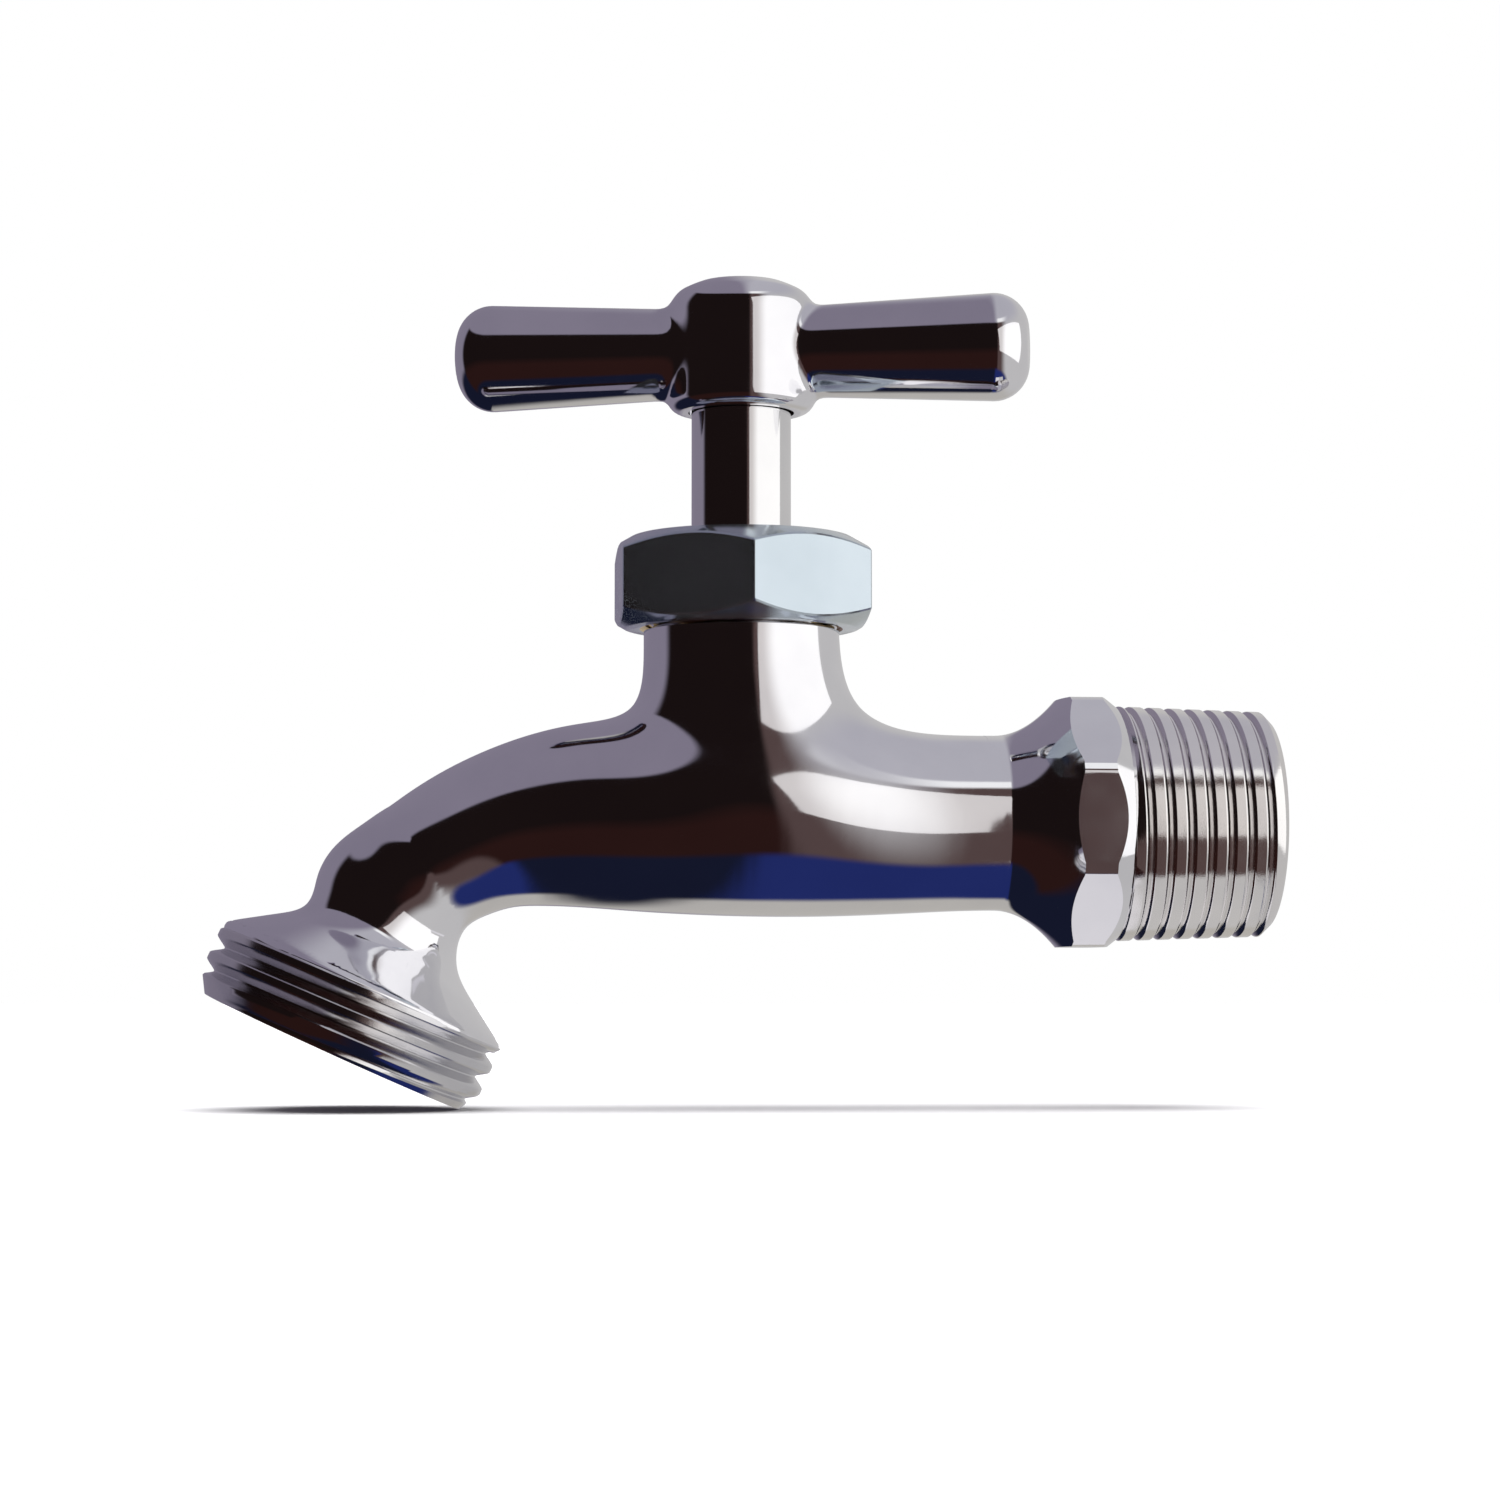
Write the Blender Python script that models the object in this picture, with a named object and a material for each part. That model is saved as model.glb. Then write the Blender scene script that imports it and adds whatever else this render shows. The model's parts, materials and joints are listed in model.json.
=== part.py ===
"""Half-inch hose bib: a chrome-plated compression tap with a tapered pipe thread at its inlet, a
turned-down spout with a garden-hose thread, a hexagonal packing nut and a T handle.

Lengths in this file are millimetres and are turned into metres where an object is made.
The origin is the centre of the inlet's end face. +X points out of the inlet, +Z is up, and the
stem stands along +Z. The valve is modelled shut, with its washer on the seat.
"""

import math

import bmesh
import bpy
import numpy as np
from mathutils import Matrix, Vector

MM = 0.001
GAP = 0.3  # running clearance between two separate pieces
CORE_EASE = 0.12  # how far a thread's plain bore stays inside its roots

# Inlet: 1/2-14 tapered pipe thread on a shank with an eight-sided collar.
PIPE_PITCH = 25.4 / 14
PIPE_MAJOR_R = 10.67
PIPE_DEPTH = 0.76 * PIPE_PITCH
PIPE_LENGTH = 13.6
PIPE_TAPER = 1 / 32
PIPE_BORE_R = 6.6
COLLAR_FLATS = 22.4
COLLAR_R = 11.9
COLLAR_RISE = (-25.0, -18.6)
COLLAR_CHAMFER = 1.3
WAIST_R = 7.9

# Outlet: 3/4-11.5 garden-hose thread on a flared end.
HOSE_PITCH = 25.4 / 11.5
HOSE_MAJOR_R = 13.49
HOSE_DEPTH = 0.52 * HOSE_PITCH
HOSE_LENGTH = 6.2
HOSE_MOUTH_R = 8.2
HOSE_TILT = math.radians(24.5)
HOSE_FACE = Vector((-84.3, 0, -20.5))
HOSE_AXIS = Vector((-math.sin(HOSE_TILT), 0, -math.cos(HOSE_TILT)))
LEG_TOP = Vector((-79.3, 0, -6.9))
LEG_TILT = math.radians(11.5)
LEG_AXIS = Vector((-math.sin(LEG_TILT), 0, -math.cos(LEG_TILT)))
LEG_R = 6.7
LEG_BLEND = 1.4
FLARE_ROOT_R = 6.3
SPOUT_BORE_R = 4.6

# Upright neck, and how widely it blends into the run on each side.
STEM_X = -47.9
NECK_R = 8.8
NECK_BASE = 3.0
NECK_SLEEVE = 15.6
NECK_TAPER = 0.3
NECK_BLEND_TOP = 18.2
NECK_TOP = 20.6
NECK_THREAD_BASE = 16.8
NECK_THREAD_PITCH = 1.27
NECK_THREAD_DEPTH = 0.7
FILLET_INLET = 9.5
FILLET_SPOUT = 4.0
CORE_VOXEL = 2.3

# Packing nut, and the rings that it presses together: low and high faces.
NUT_BOTTOM = 17.4
NUT_TOP = 25.7
NUT_FLATS = 22.2
NUT_CROWN_R = 9.9
NUT_ROOF = 24.1
NUT_THREAD_TOP = 20.9
PACKING_R = 7.4
LOWER_WASHER_R = 7.9
LOWER_WASHER = (NECK_TOP + GAP, NECK_TOP + 0.9)
PACKING = (21.8, 23.0)
UPPER_WASHER = (23.3, 23.8)

# Stem and its coarse lifting thread.
LIFT_PITCH = 2.54
LIFT_MAJOR_R = 6.7
LIFT_DEPTH = 1.0
LIFT_ROOT_R = LIFT_MAJOR_R - LIFT_DEPTH
STEM_R = 4.5
STEM_BOTTOM = 6.8
STEM_THREAD_BOTTOM = 7.6
STEM_THREAD_TOP = 15.0
LIFT_BORE_TOP = 16.8
LIFT_RUN_OUT = 2.0
STEM_SHOULDER = 37.7
STEM_TOP = 44.6
STEM_SQUARE = 6.0
SQUARE_DRAFT = 0.28

# Seat, chamber and disc assembly.
CHAMBER_R = 7.1
CHAMBER_FLOOR = 0.4
SEAT_CROWN = 2.0
WASHER_BOTTOM = SEAT_CROWN + GAP
WASHER_R = 4.85
WASHER_THICK = 2.6
HOLDER_R = 5.6
HOLDER_TOP = STEM_BOTTOM - GAP

# T handle.
HUB_R = 6.55
HUB_BOTTOM = 37.1
HUB_TOP = 49.6
ARM_Z = 42.6
ARM_REACH = 26.1
ARM_ROOT_R = 3.85
ARM_END_R = 4.85
ARM_EDGE_R = 2.3
DOME_R = 11.5
RECESS_FLOOR = HUB_TOP - 2.3
HANDLE_TURN = math.radians(-13)
SCREW_R = 1.9
SCREW_HEAD_R = 3.5

# Centre line of the casting from the collar to the bend: x, z, half height, half width.
CASTING_STATIONS = [
    (-18.0, 0.0, 7.9, 7.9),
    (-27.0, 0.0, 7.9, 7.9),
    (-33.0, -0.1, 8.1, 8.7),
    (-40.0, -0.1, 8.4, 9.7),
    (-47.9, 0.0, 8.5, 10.2),
    (-55.0, 0.5, 8.7, 9.7),
    (-61.0, 0.6, 8.4, 8.8),
    (-66.2, 0.0, 7.7, 8.1),
    (-70.5, -1.1, 6.9, 7.6),
    (-74.0, -2.8, 6.5, 7.4),
    (-76.2, -4.1, 6.2, 7.2),
]
INLET_WATERWAY = [
    (1.0, 0.0, PIPE_BORE_R, PIPE_BORE_R),
    (-27.0, 0.0, PIPE_BORE_R, PIPE_BORE_R),
    (-31.5, -0.7, 5.9, 6.3),
    (-35.5, -2.6, 4.0, 6.0),
    (-39.0, -4.0, 2.7, 5.6),
    (-48.0, -4.1, 2.6, 5.6),
    (-52.0, -4.1, 2.3, 4.6),
    (-54.0, -4.1, 1.4, 2.8),
]
SPOUT_WATERWAY = [
    (-49.5, 4.9, SPOUT_BORE_R, SPOUT_BORE_R),
    (-56.0, 3.5, SPOUT_BORE_R, SPOUT_BORE_R),
    (-61.0, 1.7, SPOUT_BORE_R, SPOUT_BORE_R),
    (-66.2, 0.1, SPOUT_BORE_R, SPOUT_BORE_R),
    (-70.5, -1.2, SPOUT_BORE_R, SPOUT_BORE_R),
    (-74.0, -3.0, SPOUT_BORE_R, SPOUT_BORE_R),
    (-77.2, -5.6, SPOUT_BORE_R, SPOUT_BORE_R),
    (-79.3, -8.9, SPOUT_BORE_R, SPOUT_BORE_R),
    (-80.4, -11.9, 5.0, 5.0),
]

FINISHES = {
    "chrome": ((0.82, 0.83, 0.85, 1), 1.0, 0.06),
    "brass": ((0.72, 0.52, 0.22, 1), 1.0, 0.3),
    "rubber": ((0.02, 0.02, 0.02, 1), 0.0, 0.7),
    "graphite": ((0.05, 0.05, 0.055, 1), 0.0, 0.6),
}


# ---------------------------------------------------------------- mesh helpers


def finish(name):
    """The Principled material of this name, made on its first use."""
    found = bpy.data.materials.get(name)
    if found:
        return found
    material = bpy.data.materials.new(name)
    material.use_nodes = True
    shader = material.node_tree.nodes["Principled BSDF"]
    color, metallic, roughness = FINISHES[name]
    shader.inputs["Base Color"].default_value = color
    shader.inputs["Metallic"].default_value = metallic
    shader.inputs["Roughness"].default_value = roughness
    return material


def make_object(name, bm):
    """An object in metres from a bmesh in millimetres."""
    bmesh.ops.remove_doubles(bm, verts=bm.verts, dist=1e-4)
    bmesh.ops.recalc_face_normals(bm, faces=bm.faces)
    mesh = bpy.data.meshes.new(name)
    bm.to_mesh(mesh)
    bm.free()
    mesh.transform(Matrix.Scale(MM, 4))
    obj = bpy.data.objects.new(name, mesh)
    bpy.context.scene.collection.objects.link(obj)
    return obj


def bridge(bm, rings, closed):
    """Quads between neighbouring rings of vertices; open stacks are capped at both ends."""
    count = len(rings[0])
    pairs = list(zip(rings, rings[1:]))
    if closed:
        pairs.append((rings[-1], rings[0]))
    for low, high in pairs:
        for j in range(count):
            after = (j + 1) % count
            bm.faces.new((low[j], low[after], high[after], high[j]))
    if not closed:
        bm.faces.new(rings[0][::-1])
        bm.faces.new(rings[-1])


def along(axis, base=(0, 0, 0)):
    """The transform that stands a shape made around +Z on the given axis."""
    turn = Vector((0, 0, 1)).rotation_difference(Vector(axis)).to_matrix().to_4x4()
    return Matrix.Translation(Vector(base)) @ turn


def turned(name, profile, segments, place=None, closed=False):
    """A profile of (radius, height) points turned around +Z. A closed profile makes a ring."""
    place = place or Matrix.Translation((STEM_X, 0, 0))
    bm = bmesh.new()
    rings = []
    for radius, height in profile:
        ring = []
        for j in range(segments):
            angle = 2 * math.pi * (j + 0.5) / segments
            point = Vector((radius * math.cos(angle), radius * math.sin(angle), height))
            ring.append(bm.verts.new(place @ point))
        rings.append(ring)
    bridge(bm, rings, closed)
    return make_object(name, bm)


def arc(center_r, center_z, radius, start, end, steps):
    """Points of an arc in a turned profile, with its angles in degrees."""
    angles = [math.radians(start + (end - start) * i / steps) for i in range(steps + 1)]
    return [(center_r + radius * math.cos(a), center_z + radius * math.sin(a)) for a in angles]


def swell(narrow, wide, start, end, steps):
    """An S-shaped rise from the narrow radius to the wide one, in a turned profile."""
    fractions = [i / steps for i in range(steps + 1)]
    return [
        (narrow + (wide - narrow) * t * t * (3 - 2 * t), start + (end - start) * t)
        for t in fractions
    ]


def washer_profile(inner, outer, low, high, edge=0.15):
    """A flat ring's closed outline with its outer corners broken."""
    return [
        (inner, low),
        (outer - edge, low),
        (outer, low + edge),
        (outer, high - edge),
        (outer - edge, high),
        (inner, high),
    ]


def thread(name, major, depth, pitch, length, segments, place, taper=0.0, ease=0.0, tip=(1, 1)):
    """A right-hand screw of the given length along +Z. Its crests fall to the root at both ends,
    as steeply as tip says. Ease widens the crests, for the cutter of an internal thread."""
    root_end, crest_start, crest_end = 0.14 - ease, 0.42 - ease, 0.72 + ease
    steps = (-ease, root_end, crest_start, crest_end)
    heights = (0.0, 0.0, depth, depth)
    turns = range(-2, math.ceil(length / pitch) + 2)
    bm = bmesh.new()
    columns = []
    for j in range(segments + 1):
        angle = 2 * math.pi * j / segments
        column = []
        for turn in turns:
            for step, height in zip(steps, heights):
                z = pitch * (turn + step + angle / (2 * math.pi))
                z = min(max(z, 0.0), length)
                limit = min(z * tip[0], (length - z) * tip[1])
                radius = major - depth - taper * z + max(0.0, min(height, limit))
                point = Vector((radius * math.cos(angle), radius * math.sin(angle), z))
                column.append(bm.verts.new(place @ point))
        columns.append(column)
    for left, right in zip(columns, columns[1:]):
        for i in range(len(left) - 1):
            bm.faces.new((left[i], right[i], right[i + 1], left[i + 1]))
    bmesh.ops.remove_doubles(bm, verts=bm.verts, dist=1e-4)
    close_ends(bm)
    return make_object(name, bm)


def close_ends(bm):
    """Drops faces with no area and stray edges, then caps every open loop."""
    flat = [face for face in bm.faces if face.calc_area() < 1e-7]
    bmesh.ops.delete(bm, geom=flat, context="FACES")
    bmesh.ops.holes_fill(bm, edges=[edge for edge in bm.edges if edge.is_boundary])
    loose = [vert for vert in bm.verts if not vert.link_faces]
    bmesh.ops.delete(bm, geom=loose, context="VERTS")


def polygon_bar(name, sides, turn, ends):
    """A bar with flat sides along +Z on the stem's axis, from (corner radius, height) ends."""
    bm = bmesh.new()
    rings = []
    for corner, z in ends:
        ring = []
        for i in range(sides):
            angle = turn + 2 * math.pi * (i + 0.5) / sides
            point = (STEM_X + corner * math.cos(angle), corner * math.sin(angle), z)
            ring.append(bm.verts.new(point))
        rings.append(ring)
    bridge(bm, rings, closed=False)
    return make_object(name, bm)


def hexagon(name, flats, low, high):
    """A hexagonal bar with one corner towards -Y."""
    corner = flats / math.sqrt(3)
    return polygon_bar(name, 6, 0, [(corner, low), (corner, high)])


def square_taper(name, width, low, high):
    """A slightly tapered square bar, turned like the handle."""
    corner = width / math.sqrt(2)
    return polygon_bar(name, 4, HANDLE_TURN, [(corner, low), (corner - SQUARE_DRAFT, high)])


def combine(base, *tools, operation="DIFFERENCE"):
    """Applies Boolean tools to base, one after another, and removes the tools."""
    for tool in tools:
        modifier = base.modifiers.new("combine", "BOOLEAN")
        modifier.operation = operation
        modifier.object = tool
        modifier.solver = "EXACT"
        apply_modifiers(base)
        bpy.data.objects.remove(tool)
    return base


def apply_modifiers(obj):
    """Replaces the object's mesh with its evaluated one."""
    graph = bpy.context.evaluated_depsgraph_get()
    graph.update()
    mesh = bpy.data.meshes.new_from_object(obj.evaluated_get(graph))
    obj.modifiers.clear()
    obj.data = mesh


def dress(obj, material):
    """Gives a finished piece its material and smooth shading between its sharp edges."""
    obj.data.materials.clear()
    obj.data.materials.append(finish(material))
    obj.data.shade_smooth()
    obj.data.set_sharp_from_angle(angle=math.radians(35))
    return obj


# ---------------------------------------------------------------- casting


def smooth_stations(stations, steps):
    """Catmull-Rom points through the stations, as an array with one row for each section."""
    rows = [stations[0], *stations, stations[-1]]
    points = []
    for a, b, c, d in zip(rows, rows[1:], rows[2:], rows[3:]):
        a, b, c, d = (np.array(row, float) for row in (a, b, c, d))
        for i in range(steps):
            t = i / steps
            points.append(
                0.5 * (2 * b + (c - a) * t + (2 * a - 5 * b + 4 * c - d) * t**2
                       + (3 * b - a - 3 * c + d) * t**3)
            )
    points.append(np.array(stations[-1], float))
    return np.array(points)


def section_frames(sections):
    """Each section's centre, and the unit direction across it in the XZ plane."""
    centers = np.stack([sections[:, 0], np.zeros(len(sections)), sections[:, 1]], axis=1)
    tangents = np.gradient(centers, axis=0)
    tangents /= np.linalg.norm(tangents, axis=1, keepdims=True)
    across = np.cross(tangents, np.array((0, 1, 0)))
    return centers, across


def loft(name, stations, segments, steps):
    """A closed tube of elliptical sections along the stations."""
    sections = smooth_stations(stations, steps)
    centers, across = section_frames(sections)
    bm = bmesh.new()
    rings = []
    for center, up, section in zip(centers, across, sections):
        ring = []
        for j in range(segments):
            angle = 2 * math.pi * j / segments
            offset = up * section[2] * math.cos(angle)
            offset = offset + np.array((0, section[3] * math.sin(angle), 0))
            ring.append(bm.verts.new(center + offset))
        rings.append(ring)
    bridge(bm, rings, closed=False)
    return make_object(name, bm)


def run_distance(points):
    """Signed distance, near enough, from the casting's main run, which ends round."""
    sections = smooth_stations(CASTING_STATIONS, 6)
    centers, _ = section_frames(sections)
    best = np.full(len(points), np.inf)
    value = np.zeros(len(points))
    for i in range(len(centers) - 1):
        step = centers[i + 1] - centers[i]
        t = np.clip((points - centers[i]) @ step / (step @ step), 0, 1)
        offset = points - centers[i] - t[:, None] * step
        half = sections[i, 2:] + t[:, None] * (sections[i + 1, 2:] - sections[i, 2:])
        rise = np.hypot(offset[:, 0], offset[:, 2])
        scaled = np.sqrt((rise / half[:, 0])**2 + (points[:, 1] / half[:, 1])**2 + 1e-9)
        distance = np.linalg.norm(offset, axis=1)
        nearer = distance < best
        best = np.where(nearer, distance, best)
        value = np.where(nearer, distance * (1 - 1 / scaled), value)
    return value


def leg_distance(points):
    """Signed distance from the turned-down end of the spout, a rod with a ball end on top."""
    offset = points - np.array(LEG_TOP)
    reach = np.maximum(offset @ np.array(LEG_AXIS), 0)
    return np.linalg.norm(offset - reach[:, None] * np.array(LEG_AXIS), axis=1) - LEG_R


def neck_distance(points):
    """Signed distance from the upright neck, which starts inside the run."""
    radius = NECK_R - NECK_TAPER * np.maximum(points[:, 2] - NECK_SLEEVE, 0)
    radial = np.hypot(points[:, 0] - STEM_X, points[:, 1]) - radius
    below = NECK_BASE - points[:, 2]
    above = points[:, 2] - NECK_BLEND_TOP
    height = np.maximum(below, above)
    outside = np.hypot(np.maximum(radial, 0), np.maximum(height, 0))
    return outside + np.minimum(np.maximum(radial, height), 0)


def smooth_least(first, second, blend):
    """The smaller of two distances, with a fillet where they meet."""
    mix = np.maximum(blend - np.abs(first - second), 0) / blend
    return np.minimum(first, second) - mix**2 * blend / 4


def casting_distance(points):
    """The run with its turned-down end, and the neck with a wide fillet towards the inlet."""
    run = smooth_least(run_distance(points), leg_distance(points), LEG_BLEND)
    side = np.clip((points[:, 0] - STEM_X) / NECK_R, -1, 1)
    blend = FILLET_SPOUT + (FILLET_INLET - FILLET_SPOUT) * (0.5 + 0.5 * side)
    return smooth_least(run, neck_distance(points), blend)


def project_to_casting(mesh):
    """Moves each vertex along the gradient onto the casting's surface, evening them on the way."""
    count = len(mesh.vertices)
    points = np.empty(count * 3)
    mesh.vertices.foreach_get("co", points)
    points = points.reshape(-1, 3) / MM
    edges = np.empty(len(mesh.edges) * 2, dtype=np.int64)
    mesh.edges.foreach_get("vertices", edges)
    edges = edges.reshape(-1, 2)
    degree = np.bincount(edges.ravel(), minlength=count)[:, None]
    inner = (points[:, 0] < -20.0) & (points[:, 2] < NECK_BLEND_TOP - 1.0)
    inner &= (points - np.array(HOSE_FACE)) @ np.array(HOSE_AXIS) < -7.5
    small = 1e-3
    for _ in range(6):
        total = np.zeros_like(points)
        np.add.at(total, edges[:, 0], points[edges[:, 1]])
        np.add.at(total, edges[:, 1], points[edges[:, 0]])
        points = np.where(inner[:, None], 0.5 * points + 0.5 * total / degree, points)
        for _ in range(3):
            value = casting_distance(points)
            slope = np.stack(
                [
                    (casting_distance(points + small * axis) - value) / small
                    for axis in np.eye(3)
                ],
                axis=1,
            )
            size = np.sum(slope**2, axis=1, keepdims=True) + 1e-6
            points = np.where(inner[:, None], points - value[:, None] * slope / size, points)
    mesh.vertices.foreach_set("co", (points * MM).ravel())
    mesh.update()


def casting_core():
    """The blended run and neck, without its threads and waterways."""
    core = loft("valve_body", CASTING_STATIONS, 32, 4)
    neck = turned("neck", [(NECK_R, NECK_BASE), (NECK_R, NECK_BLEND_TOP)], 32)
    outline = [(LEG_R - 3, -5.0), (LEG_R, -2.0), (LEG_R, 9.0)]
    leg = turned("leg", outline, 32, along(LEG_AXIS, LEG_TOP))
    combine(core, neck, leg, operation="UNION")
    remesh = core.modifiers.new("even", "REMESH")
    remesh.mode = "VOXEL"
    remesh.voxel_size = CORE_VOXEL * MM
    apply_modifiers(core)
    project_to_casting(core.data)
    return core


def shank():
    """The eight-sided collar between the waist and the pipe thread, chamfered at its end."""
    start, end = COLLAR_RISE
    profile = [(WAIST_R - 0.8, start - 1.5)]
    profile += [
        (WAIST_R + (COLLAR_R - WAIST_R) * (i / 8)**2, start + (end - start) * i / 8)
        for i in range(9)
    ]
    profile += [(COLLAR_R, -PIPE_LENGTH - COLLAR_CHAMFER * 1.3)]
    profile += [(COLLAR_R - COLLAR_CHAMFER, -PIPE_LENGTH)]
    rim = turned("collar", profile, 32, along((1, 0, 0)))
    corner = COLLAR_FLATS / 2 / math.cos(math.pi / 8)
    sides = turned("sides", [(corner, -28.0), (corner, 0.0)], 8, along((1, 0, 0)))
    combine(rim, sides, operation="INTERSECT")
    screw = thread(
        "pipe_thread", PIPE_MAJOR_R, PIPE_DEPTH, PIPE_PITCH, PIPE_LENGTH + 0.5, 26,
        along((1, 0, 0), (-PIPE_LENGTH - 0.5, 0, 0)), taper=PIPE_TAPER, tip=(3, 1),
    )
    return combine(rim, screw, operation="UNION")


def hose_end():
    """The flared outlet with its hose thread, made upwards from the spout to the face."""
    rise = 14.0
    place = along(HOSE_AXIS, HOSE_FACE - HOSE_AXIS * rise)
    profile = [(FLARE_ROOT_R - 0.8, 0.0)]
    profile += swell(FLARE_ROOT_R, HOSE_MAJOR_R - 0.4, 2.2, 8.1, 8)
    profile += [(HOSE_MAJOR_R - 0.4, rise - HOSE_LENGTH + 0.7)]
    flare = turned("flare", profile, 32, place)
    base = HOSE_FACE - HOSE_AXIS * (HOSE_LENGTH + 0.6)
    screw = thread(
        "hose_thread", HOSE_MAJOR_R, HOSE_DEPTH, HOSE_PITCH, HOSE_LENGTH + 0.6, 28,
        along(HOSE_AXIS, base), tip=(3, 1),
    )
    return combine(flare, screw, operation="UNION")


def neck_top():
    """The threaded end of the neck that the packing nut screws onto."""
    sleeve_top = NUT_BOTTOM - 0.25
    profile = [(NECK_R - 0.6, NECK_SLEEVE - 0.8), (NECK_R, NECK_SLEEVE + 0.4), (NECK_R, sleeve_top)]
    sleeve = turned("sleeve", profile, 32)
    screw = thread(
        "neck_thread", NECK_R - 0.1, NECK_THREAD_DEPTH, NECK_THREAD_PITCH,
        NECK_TOP - NECK_THREAD_BASE, 22, Matrix.Translation((STEM_X, 0, NECK_THREAD_BASE)),
    )
    return combine(sleeve, screw, operation="UNION")


def stem_thread_cutter():
    """The female lifting thread in the neck, with its clearance over the stem's thread."""
    place = Matrix.Translation((STEM_X, 0, STEM_THREAD_BOTTOM))
    return thread(
        "female_thread", LIFT_MAJOR_R + GAP, LIFT_DEPTH, LIFT_PITCH,
        LIFT_BORE_TOP + LIFT_RUN_OUT - STEM_THREAD_BOTTOM, 22, place, ease=0.05, tip=(9, 9),
    )


def waterways():
    """The hollows that are cut from the casting."""
    seat_port = [(4.9, -4.1), (4.9, CHAMBER_FLOOR + 0.5)]
    core = LIFT_ROOT_R + GAP - CORE_EASE
    bore = LIFT_MAJOR_R + GAP + 0.1
    chamber = [(CHAMBER_R, CHAMBER_FLOOR), (CHAMBER_R, 8.9), (core, 9.9), (core, LIFT_BORE_TOP)]
    chamber += [(bore, LIFT_BORE_TOP + 0.3), (bore, NECK_TOP + 1)]
    mouth_place = along(HOSE_AXIS, HOSE_FACE - HOSE_AXIS * 10.5)
    mouth = [(4.4, 0.0), (5.0, 0.8), (7.2, 3.2), (HOSE_MOUTH_R, 5.0), (HOSE_MOUTH_R, 11.5)]
    return [
        loft("inlet_way", INLET_WATERWAY, 20, 2),
        turned("seat_port", seat_port, 24),
        turned("chamber", chamber, 24),
        stem_thread_cutter(),
        loft("spout_way", SPOUT_WATERWAY, 16, 2),
        turned("mouth", mouth, 24, mouth_place),
    ]


def valve_body():
    """The casting: run, neck, shank and outlet in one, with its waterways cut."""
    body = casting_core()
    combine(body, shank(), hose_end(), neck_top(), operation="UNION")
    combine(body, *waterways())
    return dress(body, "chrome")


# ---------------------------------------------------------------- fittings inside and on top


def seat_ring():
    """The renewable seat, with a raised crown and a hexagonal bore for its wrench."""
    profile = [
        (2.6, -1.2), (4.4, -1.2), (4.6, -1.0), (4.6, 0.7), (6.0, 0.7), (6.0, 1.3), (4.9, 1.4),
        (4.5, SEAT_CROWN), (3.9, SEAT_CROWN), (2.6, 1.2),
    ]
    ring = turned("seat_ring", profile, 28, closed=True)
    combine(ring, hexagon("wrench_bore", 6.6, -3, 4))
    return dress(ring, "brass")


def seat_washer():
    """The flat rubber washer that closes on the seat."""
    profile = washer_profile(1.9, WASHER_R, WASHER_BOTTOM, WASHER_BOTTOM + WASHER_THICK, 0.35)
    return dress(turned("seat_washer", profile, 24, closed=True), "rubber")


def washer_screw():
    """The slotted screw that holds the washer up in its cup."""
    head_low, head_high = 0.8, SEAT_CROWN
    profile = [(2.0, head_low), (2.7, head_low + 0.3), (2.9, head_high), (1.6, head_high)]
    profile += [(1.6, 7.8), (1.2, 8.2)]
    screw = turned("washer_screw", profile, 20)
    combine(screw, slot_cutter((STEM_X, 0, head_low - 0.5), (3.2, 0.4, 1.1), 0))
    return dress(screw, "brass")


def slot_cutter(center, half_size, turn):
    """A block for a screwdriver slot."""
    bm = bmesh.new()
    bmesh.ops.create_cube(bm, size=2)
    place = Matrix.Translation(center) @ Matrix.Rotation(turn, 4, "Z")
    bmesh.ops.transform(bm, matrix=place @ Matrix.Diagonal((*half_size, 1)), verts=bm.verts)
    return make_object("slot", bm)


def disc_holder():
    """The swivelling cup: the washer sits in its rim and its headed pin turns in the stem."""
    cup_floor = WASHER_BOTTOM + WASHER_THICK + GAP
    profile = [
        (1.9, cup_floor), (WASHER_R + GAP, cup_floor), (WASHER_R + GAP, cup_floor - 1.5),
        (HOLDER_R - 0.1, cup_floor - 1.5), (HOLDER_R, cup_floor - 1.3), (HOLDER_R, HOLDER_TOP - 0.3),
        (HOLDER_R - 0.3, HOLDER_TOP), (2.4, HOLDER_TOP), (2.4, 8.3), (2.8, 8.5), (2.8, 9.1),
        (2.4, 9.3), (1.9, 9.3),
    ]
    return dress(turned("disc_holder", profile, 28, closed=True), "brass")


def stem():
    """The stem: swivel socket, lifting thread, polished shaft, squared top and screw hole."""
    profile = [
        (LIFT_ROOT_R - 0.4, STEM_BOTTOM), (LIFT_ROOT_R, STEM_BOTTOM + 0.4),
        (LIFT_ROOT_R, STEM_THREAD_TOP), (STEM_R, STEM_THREAD_TOP + 0.4),
        (STEM_R, STEM_SHOULDER - 0.2), (STEM_R - 0.2, STEM_SHOULDER),
    ]
    shaft = turned("stem", profile, 26)
    place = Matrix.Translation((STEM_X, 0, STEM_THREAD_BOTTOM))
    screw = thread(
        "stem_thread", LIFT_MAJOR_R, LIFT_DEPTH, LIFT_PITCH,
        STEM_THREAD_TOP - STEM_THREAD_BOTTOM, 22, place, tip=(1.2, 1.2),
    )
    square = square_taper("square", STEM_SQUARE, STEM_SHOULDER - 1, STEM_TOP)
    combine(shaft, screw, square, operation="UNION")
    socket = [(2.7, STEM_BOTTOM - 1), (2.7, 8.0), (3.1, 8.2), (3.1, 9.4), (2.0, 10.2)]
    screw_hole = [(SCREW_R + GAP - 0.6, 39.6), (SCREW_R + GAP, 40.4), (SCREW_R + GAP, STEM_TOP + 1)]
    combine(shaft, turned("socket", socket, 24), turned("screw_hole", screw_hole, 20))
    return dress(shaft, "chrome")


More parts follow.
